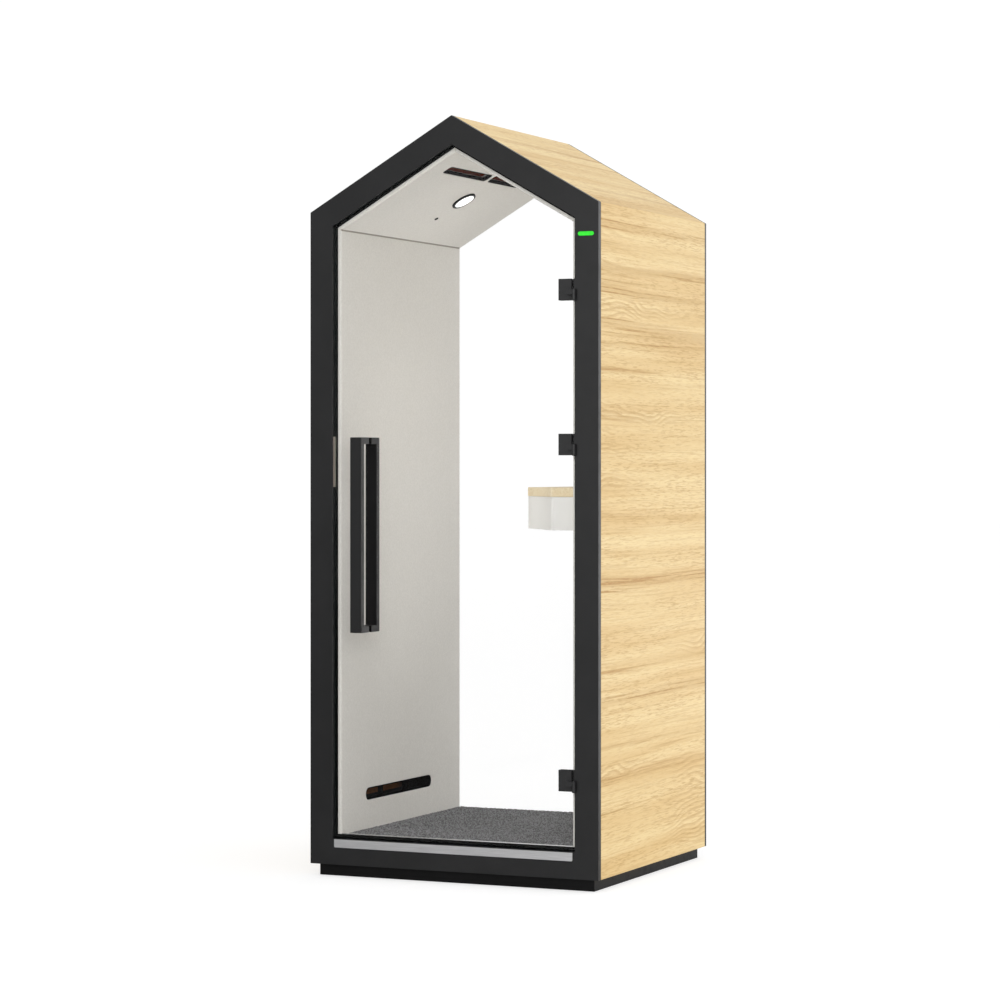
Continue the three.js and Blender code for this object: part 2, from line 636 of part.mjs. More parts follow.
function roofVentInsert(start) {
  const rim = roofVentOutline(start, -FIT);
  rim.holes.push(roofVentOutline(start, -FIT - ROOF_VENT_RIM));
  return prismZ(rim, -ROOF_VENT_RECESS - ROOF_VENT_T, -ROOF_VENT_RECESS);
}

// A fan body is a square frame with a hub plate on struts, its outer end towards the oak
function fanBody() {
  const half = FAN_SIZE / 2;
  const outline = roundedRect(-half, -half, half, half, FAN_CORNER_R);
  outline.holes.push(circle(0, 0, FAN_BORE_R));
  const plateZ = [-FAN_T, -FAN_T + FAN_PLATE_T];
  const hubPlate = barZ(0, 0, FAN_HUB_R, ...plateZ);
  const struts = Array.from({ length: FAN_STRUTS }, (_, i) =>
    box([FAN_HUB_R / 2, FAN_BORE_R + OVERCUT], [-FAN_STRUT_WIDTH / 2, FAN_STRUT_WIDTH / 2], plateZ)
      .rotateZ((2 * Math.PI * i) / FAN_STRUTS));
  const frame = join(extrude(outline, FAN_T, BORE_STEPS).translate(0, 0, -FAN_T), hubPlate, ...struts);
  return cut(frame, barZ(0, 0, FAN_SHAFT_R + FIT, -FAN_T - OVERCUT, -FAN_T + FAN_PLATE_T + OVERCUT));
}

// A fan rotor is a hub on a shaft, ringed by pitched blades
function fanRotor() {
  const hubZ = [-FAN_T + FAN_PLATE_T + FAN_ROTOR_GAP, -FAN_ROTOR_SETBACK];
  const hub = barZ(0, 0, FAN_HUB_R, ...hubZ);
  const shaft = barZ(0, 0, FAN_SHAFT_R, -FAN_T, hubZ[0] + OVERCUT);
  const root = FAN_HUB_R - OVERCUT;
  const blades = Array.from({ length: FAN_BLADES }, (_, i) =>
    new THREE.BoxGeometry(FAN_BLADE_TIP_R - root, FAN_BLADE_CHORD, FAN_BLADE_T)
      .rotateX(THREE.MathUtils.degToRad(FAN_BLADE_PITCH_DEG))
      .translate((FAN_BLADE_TIP_R + root) / 2, 0, (hubZ[0] + hubZ[1]) / 2)
      .rotateZ((2 * Math.PI * i) / FAN_BLADES));
  return join(hub, shaft, ...blades);
}

for (const [end, start] of Object.entries(ROOF_VENTS)) {
  add(ceiling, `roof_vent_${end}`, roofVentInsert(start), BLACK_PLASTIC);
  const fan = new THREE.Group();
  fan.position.set(ROOF_VENT_FROM_RIDGE, fanCentre(start), plenumTop - FIT);
  ceiling.add(fan);
  add(fan, `fan_housing_${end}`, fanBody(), BLACK_PLASTIC);
  add(fan, `fan_rotor_${end}`, fanRotor(), BLACK_PLASTIC);
}

// Ceiling light: a cup in the ceiling with a rim that stands proud of it and holds the diffuser
const cupInner = LIGHT_R - LIGHT_WALL;
const seatR = DIFFUSER_R + FIT;
const diffuserBack = LIGHT_PROUD - DIFFUSER_T;
const cupProfile = [
  [0, -LIGHT_DEPTH], [LIGHT_R, -LIGHT_DEPTH], [LIGHT_R, FIT], [LIGHT_RIM_R, FIT],
  [LIGHT_RIM_R, FIT + LIGHT_PROUD], [seatR, FIT + LIGHT_PROUD],
  [seatR, diffuserBack - FIT], [cupInner, diffuserBack - FIT],
  [cupInner, -LIGHT_DEPTH + LIGHT_WALL], [0, -LIGHT_DEPTH + LIGHT_WALL],
];
add(ceiling, 'light_housing', turned(cupProfile).translate(LIGHT_FROM_RIDGE, LIGHT_Y, 0), BLACK_METAL);
const diffuser = barZ(LIGHT_FROM_RIDGE, LIGHT_Y, DIFFUSER_R, diffuserBack, LIGHT_PROUD);
add(ceiling, 'light_diffuser', diffuser, DIFFUSER_WHITE);

// Presence sensor: a low dome on a stem
const sensorProfile = [
  [0, -SENSOR_STEM], [SENSOR_STEM_R, -SENSOR_STEM], [SENSOR_STEM_R, FIT], [SENSOR_R, FIT],
  [SENSOR_R, FIT + SENSOR_RIM], [SENSOR_SHOULDER_R, FIT + SENSOR_SHOULDER], [0, FIT + SENSOR_DOME],
];
const sensor = turned(sensorProfile).translate(SENSOR_FROM_RIDGE, SENSOR_Y, 0);
add(ceiling, 'presence_sensor', sensor, BLACK_PLASTIC);

// Power supply for the light and fans, let into the core behind the liner
const supply = box(
  [SUPPLY_FROM_RIDGE - SUPPLY_WIDTH / 2, SUPPLY_FROM_RIDGE + SUPPLY_WIDTH / 2],
  [SUPPLY_Y - SUPPLY_LENGTH / 2, SUPPLY_Y + SUPPLY_LENGTH / 2],
  [-LINER_T - SUPPLY_T - FIT, -LINER_T - FIT],
);
add(ceiling, 'power_supply', supply, SUPPLY_CASE);

// Shelf: an oak top on a hollow painted box, both tapering from the wall
function shelfOutline(inset) {
  const wall = WALL_X - FIT;
  const [front, rear] = [LINER_START + SHELF_END_MARGIN + inset, REAR_Y - SHELF_END_MARGIN - inset];
  const [tip, end] = [WALL_X - SHELF_REACH + inset, WALL_X - SHELF_END_REACH + inset];
  return roundedPolygon([
    [wall, front, 0], [wall, rear, 0],
    [end, rear, SHELF_CORNER_R], [tip, rear - SHELF_TAPER, SHELF_CORNER_R],
    [tip, front + SHELF_TAPER, SHELF_CORNER_R], [end, front, SHELF_CORNER_R],
  ]);
}
function shelfHollow() {
  const wall = WALL_X - FIT - SHELF_BOX_WALL;
  const inset = SHELF_BOX_INSET + SHELF_BOX_WALL;
  const [front, rear] = [LINER_START + SHELF_END_MARGIN + inset, REAR_Y - SHELF_END_MARGIN - inset];
  const [tip, end] = [WALL_X - SHELF_REACH + inset, WALL_X - SHELF_END_REACH + inset];
  return shapeOf([
    [wall, front], [wall, rear], [end, rear],
    [tip, rear - SHELF_TAPER], [tip, front + SHELF_TAPER], [end, front],
  ]);
}
const shelfUnder = SHELF_HEIGHT - SHELF_TOP_T;
const shelfBottom = shelfUnder - SHELF_BOX_HEIGHT;
add(booth, 'shelf_top', prismZ(shelfOutline(0), shelfUnder, SHELF_HEIGHT), OAK);
const shelfBox = prismZ(shelfOutline(SHELF_BOX_INSET), shelfBottom, shelfUnder - FIT);
const shelfInside = prismZ(shelfHollow(), shelfBottom + SHELF_BOX_WALL, shelfUnder + OVERCUT);
add(booth, 'shelf_box', cut(shelfBox, shelfInside), SHELF_PAINT);

// Seal round the doorway, on the liners' front edges
const sealRing = houseRing(FRAME_FACE + FIT, SILL + FIT, FRAME_FACE + SEAL_WIDTH, SILL + SEAL_SILL);
add(booth, 'door_seal', prismY(sealRing, DOOR_BACK + FIT, LINER_START - FIT), RUBBER);

// Door: one pane in the outline of the doorway, drilled for the handle studs
const door = new THREE.Group();
booth.add(door);
const handleX = -JAMB_X + HANDLE_FROM_JAMB + HANDLE_WIDTH / 2;
const handleZ = [HANDLE_CENTRE - HANDLE_LENGTH / 2, HANDLE_CENTRE + HANDLE_LENGTH / 2];
const studHeights = [handleZ[0] + HANDLE_ARM_T / 2, handleZ[1] - HANDLE_ARM_T / 2];
const pane = shapeOf(houseOutline(FRAME_FACE + DOOR_GAP, SILL + DOOR_GAP));
studHeights.forEach((z) => pane.holes.push(circle(handleX, z, STUD_HOLE_R)));
add(door, 'door_glass', prismY(pane, DOOR_SETBACK, DOOR_BACK), CLEAR_GLASS);
const keeperY = (DOOR_SETBACK + DOOR_BACK) / 2;
const keeper = box(
  [-DOOR_EDGE_X - FIT - KEEPER_T, -DOOR_EDGE_X - FIT],
  [keeperY - KEEPER_WIDTH / 2, keeperY + KEEPER_WIDTH / 2],
  catchZ,
);
add(door, 'door_keeper', keeper, SATIN_STEEL);

// A pull is a flat U on two collars: way is the direction it stands out from the glass
function pull(glassFace, way, projection) {
  const root = glassFace + way * COLLAR_T;
  const grip = root + way * projection;
  const palm = grip - way * HANDLE_GRIP_T;
  const [low, high] = handleZ;
  const r = HANDLE_CORNER_R;
  const outline = roundedPolygon([
    [root, low, 0], [grip, low, r], [grip, high, r], [root, high, 0],
    [root, high - HANDLE_ARM_T, 0], [palm, high - HANDLE_ARM_T, r], [palm, low + HANDLE_ARM_T, r],
    [root, low + HANDLE_ARM_T, 0],
  ]);
  const bar = prismX(outline, handleX - HANDLE_WIDTH / 2, handleX + HANDLE_WIDTH / 2);
  const reach = [glassFace + way * FIT, root + way * OVERCUT].sort((a, b) => a - b);
  return join(bar, ...studHeights.map((z) => barY(handleX, z, COLLAR_R, ...reach)));
}
const innerRoot = DOOR_BACK + COLLAR_T;
const studEnd = innerRoot + STUD_BITE;
const studs = studHeights.map((z) => barY(handleX, z, STUD_R, DOOR_SETBACK - OVERCUT, studEnd));
const studBores = studHeights.map((z) => barY(handleX, z, STUD_R + FIT, DOOR_BACK, studEnd + FIT));
add(door, 'outer_handle', join(pull(DOOR_SETBACK, -1, HANDLE_PROJECTION), ...studs), BLACK_METAL);
add(door, 'inner_handle', cut(pull(DOOR_BACK, 1, INNER_PROJECTION), ...studBores), BLACK_METAL);

// Hinges: the barrel fills the lower half of each, the door's knuckle above the jamb's
const clampX = [DOOR_EDGE_X - CLAMP_EDGE - CLAMP_WIDTH, DOOR_EDGE_X - CLAMP_EDGE];
const rearClampEnd = JAMB_X - SEAL_WIDTH - OVERCUT;
function frontClamp(z) {
  const plateZ = [z - CLAMP_HEIGHT / 2, z + CLAMP_HEIGHT / 2];
  const knuckleZ = [plateZ[0] + BARREL_LENGTH / 2 + FIT, plateZ[0] + BARREL_LENGTH];
  const plate = box(clampX, [DOOR_SETBACK - FIT - CLAMP_T, DOOR_SETBACK - FIT], plateZ);
  const armY = [HINGE_Y - ARM_T / 2, HINGE_Y + ARM_T / 2];
  const lug = box([clampX[1] - ARM_REACH, clampX[1]], [armY[0], DOOR_SETBACK - CLAMP_T], knuckleZ);
  const arm = box([clampX[1] - ARM_REACH, JAMB_X], armY, knuckleZ);
  const body = join(plate, lug, arm, barZ(JAMB_X, HINGE_Y, BARREL_R, ...knuckleZ));
  return cut(body, barZ(JAMB_X, HINGE_Y, PIN_R + FIT, ...grow(knuckleZ, OVERCUT)));
}

function rearClamp(z) {
  const plateZ = [z - CLAMP_HEIGHT / 2, z + CLAMP_HEIGHT / 2];
  return box([clampX[0], rearClampEnd], [DOOR_BACK + FIT, DOOR_BACK + FIT + CLAMP_T], plateZ);
}

function jambLeaf(z) {
  const low = z - CLAMP_HEIGHT / 2;
  const knuckleZ = [low, low + BARREL_LENGTH / 2];
  const leafX = [JAMB_X - FIT - LEAF_T, JAMB_X - FIT];
  const leaf = box(leafX, [LEAF_SETBACK, LEAF_SETBACK + LEAF_DEPTH], [low, low + CLAMP_HEIGHT]);
  const tab = box(leafX, [HINGE_Y, LEAF_SETBACK + OVERCUT], knuckleZ);
  const body = join(leaf, tab, barZ(JAMB_X, HINGE_Y, BARREL_R, ...knuckleZ));
  return cut(body, barZ(JAMB_X, HINGE_Y, PIN_R + FIT, ...grow(knuckleZ, OVERCUT)));
}

function hingePin(z) {
  const low = z - CLAMP_HEIGHT / 2 - FIT;
  const high = low + BARREL_LENGTH + 2 * FIT;
  return turned([
    [0, low - PIN_HEAD_T], [PIN_HEAD_R, low - PIN_HEAD_T], [PIN_HEAD_R, low], [PIN_R, low],
    [PIN_R, high], [PIN_HEAD_R, high], [PIN_HEAD_R, high + PIN_HEAD_T], [0, high + PIN_HEAD_T],
  ]).translate(JAMB_X, HINGE_Y, 0);
}

for (const [level, z] of Object.entries(HINGE_CENTRES)) {
  add(door, `hinge_clamp_front_${level}`, frontClamp(z), BLACK_METAL);
  add(door, `hinge_clamp_rear_${level}`, rearClamp(z), BLACK_METAL);
  add(booth, `hinge_leaf_${level}`, jambLeaf(z), BLACK_METAL);
  add(booth, `hinge_pin_${level}`, hingePin(z), BLACK_METAL);
}

export default booth;
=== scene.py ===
# %% [markdown]
# # A house-shaped acoustic booth
# The booth is a narrow little house for one caller. Two black frames close its ends, oak boards wrap
# its walls and roof, and felt panels line the inside. A pane of glass hangs on the front as the door.
# The solids of every rigid piece come from the CAD model, so this file works on the looks: softened
# edges, wood grain, felt, carpet tufts, rubber lips, screws and light.

import json
import math

import bmesh
import bpy
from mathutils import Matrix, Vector


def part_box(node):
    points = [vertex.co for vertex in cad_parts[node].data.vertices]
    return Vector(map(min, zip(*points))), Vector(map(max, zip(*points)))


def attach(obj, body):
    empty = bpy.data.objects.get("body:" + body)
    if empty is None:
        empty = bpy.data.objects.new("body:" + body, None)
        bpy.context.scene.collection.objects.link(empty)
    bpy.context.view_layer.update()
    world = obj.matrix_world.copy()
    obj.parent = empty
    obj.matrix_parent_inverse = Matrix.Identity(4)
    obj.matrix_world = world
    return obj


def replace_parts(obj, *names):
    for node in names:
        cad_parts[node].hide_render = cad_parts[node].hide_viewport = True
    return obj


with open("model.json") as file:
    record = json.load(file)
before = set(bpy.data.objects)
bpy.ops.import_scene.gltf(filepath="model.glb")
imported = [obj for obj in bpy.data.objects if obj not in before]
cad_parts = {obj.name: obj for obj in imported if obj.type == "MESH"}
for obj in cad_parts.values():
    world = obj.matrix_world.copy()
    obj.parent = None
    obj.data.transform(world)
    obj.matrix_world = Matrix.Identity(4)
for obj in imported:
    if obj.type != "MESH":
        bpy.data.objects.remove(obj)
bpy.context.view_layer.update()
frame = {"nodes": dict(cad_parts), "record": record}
solids = frame["nodes"]
scene = bpy.context.scene
scene.view_settings.view_transform = "Standard"
bodies = frame["record"]["behaviour"]["bodies"]
body_of = {node: body for body, members in bodies.items() for node in members}

# %% [markdown]
# ## Sizes of the house
# A few sizes of the booth's outline are needed again here, in metres: half its width, the height of
# the eaves, the roof's pitch, the width of the front frame's face and the height of the doorway's sill.
# The hinges' levels and the two panes come up more than once, so they are named here too.

# %% Sizes
HALF_WIDTH = 0.480
EAVE = 2.040
PITCH = math.radians(30)
FRAME_FACE = 0.076
SILL = 0.118
HINGE_LEVELS = ("bottom", "middle", "top")
PANES = ("door_glass", "rear_glass")
print("house outline", 2 * HALF_WIDTH, "m wide")

# %% [markdown]
# ## Camera
# The photograph was taken with a long lens held level, so upright edges stay upright. A level camera
# with a small lens shift keeps that. The place and the focal length were fitted to the booth's corners.

# %% Camera
CAMERA_PLACE = Vector((3.9076, -8.6332, 1.2588))
CAMERA_TURN = math.radians(24.535)
CAMERA_LEVEL = math.radians(90)
FOCAL_MM = 108.64
SENSOR_MM = 36.0
HORIZON_SHIFT = -0.0335

camera = bpy.data.objects.new("camera", bpy.data.cameras.new("camera"))
camera.location = CAMERA_PLACE
camera.rotation_euler = (CAMERA_LEVEL, 0, CAMERA_TURN)
camera.data.sensor_width = SENSOR_MM
camera.data.lens = FOCAL_MM
camera.data.shift_y = HORIZON_SHIFT
scene.collection.objects.link(camera)
scene.camera = camera
print("camera", round(CAMERA_PLACE.xy.length, 2), "m from the booth's axis")

# %% [markdown]
# ## Writing shaders as sums
# A finish is a small network of nodes. To keep each one readable, a socket is wrapped in a class
# whose operators add the Math nodes, so a grain can be written as an expression. Any other node comes
# from one method that takes its type, its settings and what feeds its sockets.

# %% Shader helpers
SRGB_TOE = 0.04045
SRGB_SLOPE = 12.92
SRGB_LIFT = 0.055
SRGB_POWER = 2.4


class Field:
    """A value that changes over a surface. Operators on it add Math nodes."""

    def __init__(self, finish, socket):
        self.finish = finish
        self.socket = socket

    def math(self, operation, *others):
        return self.finish.arithmetic(operation, self, *others)

    def __add__(self, other):
        return self.math("ADD", other)

    __radd__ = __add__

    def __sub__(self, other):
        return self.math("SUBTRACT", other)

    def __rsub__(self, other):
        return self.finish.arithmetic("SUBTRACT", other, self)

    def __mul__(self, other):
        return self.math("MULTIPLY", other)

    __rmul__ = __mul__

    def __abs__(self):
        return self.math("ABSOLUTE")

    def fraction(self):
        return self.math("FRACT")

    def band(self, low, high):
        """0 below low, 1 above high and a smooth step between; low above high turns it round."""
        sockets = {"Value": self, "From Min": low, "From Max": high}
        return self.finish.field("ShaderNodeMapRange", {"interpolation_type": "SMOOTHSTEP"}, sockets)


def linear(shade):
    """One channel of a screen colour, from 0 to 1, in linear light."""
    if shade <= SRGB_TOE:
        return shade / SRGB_SLOPE
    return ((shade + SRGB_LIFT) / (1 + SRGB_LIFT)) ** SRGB_POWER


def tone(code):
    """A colour written as six hex digits, as seen on a screen, in linear light."""
    return tuple(linear(channel / 255) for channel in bytes.fromhex(code)) + (1.0,)


class Finish:
    """A node network, with a Principled shader unless it is for the world."""

    def __init__(self, owner):
        owner.use_nodes = True
        self.owner = owner
        self.tree = owner.node_tree
        self.shader = self.tree.nodes.get("Principled BSDF")

    def feed(self, socket, value):
        if isinstance(value, Field):
            self.tree.links.new(value.socket, socket)
        elif isinstance(value, bpy.types.NodeSocket):
            self.tree.links.new(value, socket)
        else:
            socket.default_value = value

    def node(self, kind, settings=(), sockets=()):
        made = self.tree.nodes.new(kind)
        for name, value in dict(settings).items():
            setattr(made, name, value)
        for name, value in dict(sockets).items():
            self.feed(made.inputs[name], value)
        return made

    def field(self, kind, settings=(), sockets=(), output=0):
        return Field(self, self.node(kind, settings, sockets).outputs[output])

    def arithmetic(self, operation, *terms):
        return self.field("ShaderNodeMath", {"operation": operation}, dict(enumerate(terms)))

    def measure(self, operation, *vectors):
        """A single value worked out from vectors, such as a length or a distance."""
        sockets = dict(enumerate(vectors))
        return self.field("ShaderNodeVectorMath", {"operation": operation}, sockets, "Value")

    def spot(self):
        """Object coordinates in metres."""
        return self.node("ShaderNodeTexCoord").outputs["Object"]

    def axis(self, name, vector=None):
        """The X, Y or Z of a vector, which is the place on the object unless another is given."""
        source = self.spot() if vector is None else vector
        return self.field("ShaderNodeSeparateXYZ", {}, {0: source}, name)

    def place(self, stretch=(1, 1, 1), tilt=0.0, lift=None):
        """Object coordinates in metres, lifted by a field, tilted about X, then stretched by axis."""
        spot = self.spot()
        if lift is not None:
            rise = self.node("ShaderNodeCombineXYZ", {}, {"Z": lift}).outputs[0]
            spot = self.node("ShaderNodeVectorMath", {"operation": "ADD"}, {0: spot, 1: rise}).outputs[0]
        sockets = {"Vector": spot, "Rotation": (tilt, 0, 0), "Scale": stretch}
        return self.node("ShaderNodeMapping", {}, sockets).outputs["Vector"]

    def noise(self, size, detail=2.0, stretch=(1, 1, 1), bend=0.0, tilt=0.0, lift=None):
        """Soft noise from 0 to 1 whose blobs measure about size metres."""
        spot = self.place(stretch, tilt, lift)
        sockets = {"Vector": spot, "Scale": 1 / size, "Detail": detail, "Distortion": bend}
        return self.field("ShaderNodeTexNoise", {}, sockets)

    def cells(self, size, stretch=(1, 1, 1)):
        """Distance from the middle of scattered cells of about size metres."""
        return self.field("ShaderNodeTexVoronoi", {}, {"Vector": self.place(stretch), "Scale": 1 / size})

    def mix(self, mask, first, second):
        """The first colour where mask is 0, the second where it is 1."""
        node = self.node("ShaderNodeMix", {"data_type": "RGBA"})
        wanted = {"Factor_Float": mask, "A_Color": first, "B_Color": second}
        for socket in node.inputs:
            if socket.identifier in wanted:
                self.feed(socket, wanted[socket.identifier])
        return next(s for s in node.outputs if s.identifier == "Result_Color")

    def blend(self, mask, first, second):
        """The first shader where mask is 0, the second where it is 1."""
        return self.node("ShaderNodeMixShader", {}, {0: mask, 1: first, 2: second}).outputs[0]

    def bump(self, height, depth, strength):
        """A normal from a height field, where a height of 1 stands depth metres proud."""
        sockets = {"Height": height, "Distance": depth, "Strength": strength}
        return self.node("ShaderNodeBump", {}, sockets).outputs[0]

    def wear(self, **sockets):
        """Feed the Principled shader's sockets, by name with spaces as underscores."""
        for name, value in sockets.items():
            self.feed(self.shader.inputs[name.replace("_", " ")], value)
        return self

    def show(self, shader):
        """Put another shader on the surface than the Principled one."""
        self.feed(self.tree.nodes["Material Output"].inputs["Surface"], shader)


def finish(name):
    return Finish(bpy.data.materials.new(name))


WHITE = tone("FFFFFF")
BLACK = tone("000000")
print("shader helpers ready")

# %% [markdown]
# ## Floor and sky
# The booth stands in a white studio. The floor and the sky are white to the camera, and the floor keeps
# a soft shadow under the plinth. To all other rays the sky is bright on the right and dims to the left
# and overhead. It has two glows: one behind the booth on the right, which makes the black edges shine
# grey, and one far out on the left, for what faces that way. Near the booth on the left the floor throws
# back little light, so the black frame darkens downwards there.

# %% Studio
FLOOR_RADIUS = 60.0
FLOOR_SIDES = 64
FLOOR_GLOW = 0.65
FLOOR_SHADE = tone("B4B4B4")
FLOOR_BOUNCE = tone("D4D4D4")
FLOOR_BOUNCE_LEFT = tone("707070")
BOUNCE_LEFT_TO_RIGHT = (-2.0, 0.6)
BOUNCE_FAR_TO_NEAR = (30.0, 8.0)
SKY_BRIGHT = 1.45
SKY_DIM = 0.4
SKY_LEFT_TO_RIGHT = (-0.85, 0.1)
SKY_LOW_TO_HIGH = (0.15, 0.9)
SKY_TOP_SHARE = 0.54
RIM_SIDE = Vector((0.42, 0.91, 0.0)).normalized()
RIM_EDGE_TO_MIDDLE = (0.86, 0.97)
RIM_GLOW = 0.55
FAR_SIDE = Vector((-1.0, 0.1, 0.1)).normalized()
FAR_EDGE_TO_MIDDLE = (0.8, 0.97)
FAR_GLOW = 1.2
CAMERA_SKY = 1.03

floor_mesh = bpy.data.meshes.new("studio_floor")
sheet = bmesh.new()
bmesh.ops.create_circle(sheet, cap_ends=True, segments=FLOOR_SIDES, radius=FLOOR_RADIUS)
sheet.to_mesh(floor_mesh)
sheet.free()
floor = bpy.data.objects.new("studio_floor", floor_mesh)
scene.collection.objects.link(floor)

studio = finish("studio_white")
seen = studio.field("ShaderNodeLightPath", output="Is Camera Ray")
shade = studio.node("ShaderNodeBsdfDiffuse", {}, {"Color": FLOOR_SHADE}).outputs[0]
glow = studio.node("ShaderNodeEmission", {}, {"Strength": FLOOR_GLOW}).outputs[0]
white_floor = studio.node("ShaderNodeAddShader", {}, {0: shade, 1: glow}).outputs[0]
nearness = studio.measure("LENGTH", studio.spot()).band(*BOUNCE_FAR_TO_NEAR)
dim_near = (1 - studio.axis("X").band(*BOUNCE_LEFT_TO_RIGHT)) * nearness
bounce = studio.mix(dim_near, FLOOR_BOUNCE, FLOOR_BOUNCE_LEFT)
plain_floor = studio.node("ShaderNodeBsdfDiffuse", {}, {"Color": bounce}).outputs[0]
studio.show(studio.blend(seen, plain_floor, white_floor))
floor_mesh.materials.append(studio.owner)

sky = Finish(bpy.data.worlds.new("studio_sky"))
scene.world = sky.owner
direction = sky.node("ShaderNodeTexCoord").outputs["Generated"]


def glow_towards(side, edge_to_middle, strength):
    """A round glow in the sky: none at the first cosine from its side, full at the second."""
    return sky.measure("DOT_PRODUCT", direction, side).band(*edge_to_middle) * strength


sweep = sky.axis("X", direction).band(*SKY_LEFT_TO_RIGHT) * (SKY_BRIGHT - SKY_DIM) + SKY_DIM
overhead = sky.axis("Z", direction).band(*SKY_LOW_TO_HIGH)
rim = glow_towards(RIM_SIDE, RIM_EDGE_TO_MIDDLE, RIM_GLOW)
far = glow_towards(FAR_SIDE, FAR_EDGE_TO_MIDDLE, FAR_GLOW)
dome = sweep * (1 - overhead * (1 - SKY_TOP_SHARE)) + rim + far
to_camera = sky.field("ShaderNodeLightPath", output="Is Camera Ray")
background = sky.tree.nodes["Background"]
sky.feed(background.inputs["Color"], WHITE)
sky.feed(background.inputs["Strength"], to_camera * CAMERA_SKY + (1 - to_camera) * dome)
print("floor", FLOOR_RADIUS, "m in radius, sky from", SKY_DIM, "to", SKY_BRIGHT)

# %% [markdown]
# ## Lamps
# The key light stands far off in front on the right, where the black frame does not mirror it, and
# brightens what faces forwards. A panel in front mirrors softly in the right half of the frame, and a low
# one behind on the right keeps the narrow black edge beside the oak even down to the floor. Inside, the
# booth's own ceiling light is on, so a small lamp shines out of it, square to the slope that carries it.
# A narrow beam from the carpet stands for the light that the room throws up at the ceiling, and a small
# lamp by the left wall fills the near side of the shelf. The panes are left out of every lamp's light,
# because they would mirror the lamps as bright discs.

# %% Lamps
LIGHT_DROP = 0.008
SLOPE_FACING = Vector((math.sin(PITCH), 0, -math.cos(PITCH)))
diffuser_low, diffuser_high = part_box("light_diffuser")
diffuser_middle = (diffuser_low + diffuser_high) / 2
LAMPS = {
    "key": {
        "at": Vector((2.6, -6.0, 2.6)),
        "to": Vector((0, 0, 1.2)),
        "watts": 80.0,
        "size": (2.0, 2.0),
        "spread": 180,
    },
    "front_panel": {
        "at": Vector((0.1, -3.6, 1.7)),
        "to": Vector((0.1, 0, 1.7)),
        "watts": 12.0,
        "size": (2.2, 2.2),
        "spread": 180,
    },
    "rear_panel": {
        "at": Vector((1.5, 1.85, 0.6)),
        "to": Vector((0.48, -0.42, 0.6)),
        "watts": 4.0,
        "size": (1.2, 1.2),
        "spread": 180,
    },
    "cabin_lamp": {
        "at": diffuser_middle + SLOPE_FACING * LIGHT_DROP,
        "to": diffuser_middle + SLOPE_FACING,
        "watts": 0.6,
        "size": (0.07, 0.07),
        "spread": 120,
    },
    "cabin_bounce": {
        "at": Vector((0, 0, 0.2)),
        "to": Vector((0, 0, 2.0)),
        "watts": 1.25,
        "size": (0.5, 0.6),
        "spread": 60,
    },
    "shelf_fill": {
        "at": Vector((-0.38, -0.34, 1.12)),
        "to": Vector((0.32, -0.33, 1.12)),
        "watts": 0.28,
        "size": (0.06, 0.06),
        "spread": 90,
    },
}

no_glare = bpy.data.collections.new("panes_without_glare")
for node in PANES:
    no_glare.objects.link(solids[node])
for member in no_glare.collection_objects:
    member.light_linking.link_state = "EXCLUDE"

for lamp_name, lamp in LAMPS.items():
    light = bpy.data.lights.new(lamp_name, "AREA")
    light.energy = lamp["watts"]
    light.shape = "ELLIPSE"
    light.size, light.size_y = lamp["size"]
    light.spread = math.radians(lamp["spread"])
    holder = bpy.data.objects.new(lamp_name, light)
    holder.location = lamp["at"]
    holder.rotation_euler = (lamp["to"] - lamp["at"]).to_track_quat("-Z", "Y").to_euler()
    holder.visible_camera = False
    holder.light_linking.receiver_collection = no_glare
    scene.collection.objects.link(holder)
    print(lamp_name, lamp["watts"], "W")

# %% [markdown]
# ## Eased edges
# No real board or bar ends in a perfect edge: a saw, a router or a press leaves a small round that
# catches the light. Each rigid solid is copied, its loose triangles are merged back into faces, and
# its sharp edges are bevelled. The copy stands for the solid and rides on the same body. The widths of
# the bevels run from a hair on thin metal to the wide round of felt pulled over a board.

# %% Easing helper
MERGE = 2e-5
FLAT = math.radians(0.4)
SHARP = math.radians(35)
CREASE = math.radians(25)
ROUND_PROFILE = 0.5
HAIR_EDGE = 0.0002
THIN_EDGE = 0.0003
FINE_EDGE = 0.0004
MOULDED_EDGE = 0.0005
SAWN_EDGE = 0.0006
BOARD_EDGE = 0.0008
SOFT_EDGE = 0.0015
FELT_EDGE = 0.0035


def shown(name, mesh, body):
    """Link a mesh as a piece that rides on a body."""
    piece = bpy.data.objects.new(name, mesh)
    scene.collection.objects.link(piece)
    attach(piece, body)
    return piece


def merged_copy(node):
    """A solid's triangles merged into whole faces, in a new bmesh."""
    work = bmesh.new()
    work.from_mesh(solids[node].data)
    bmesh.ops.remove_doubles(work, verts=work.verts, dist=MERGE)
    bmesh.ops.dissolve_limit(work, angle_limit=FLAT, verts=work.verts, edges=work.edges)
    return work


def smooth_mesh(work, name, look, crease):
    """A bmesh as a mesh in a finish, shaded smooth where faces meet at less than the crease angle."""
    mesh = bpy.data.meshes.new(name)
    work.to_mesh(mesh)
    work.free()
    if "custom_normal" in mesh.attributes:
        mesh.attributes.remove(mesh.attributes["custom_normal"])
    mesh.polygons.foreach_set("use_smooth", [True] * len(mesh.polygons))
    mesh.set_sharp_from_angle(angle=crease)
    mesh.materials.clear()
    mesh.materials.append(look.owner)
    return mesh


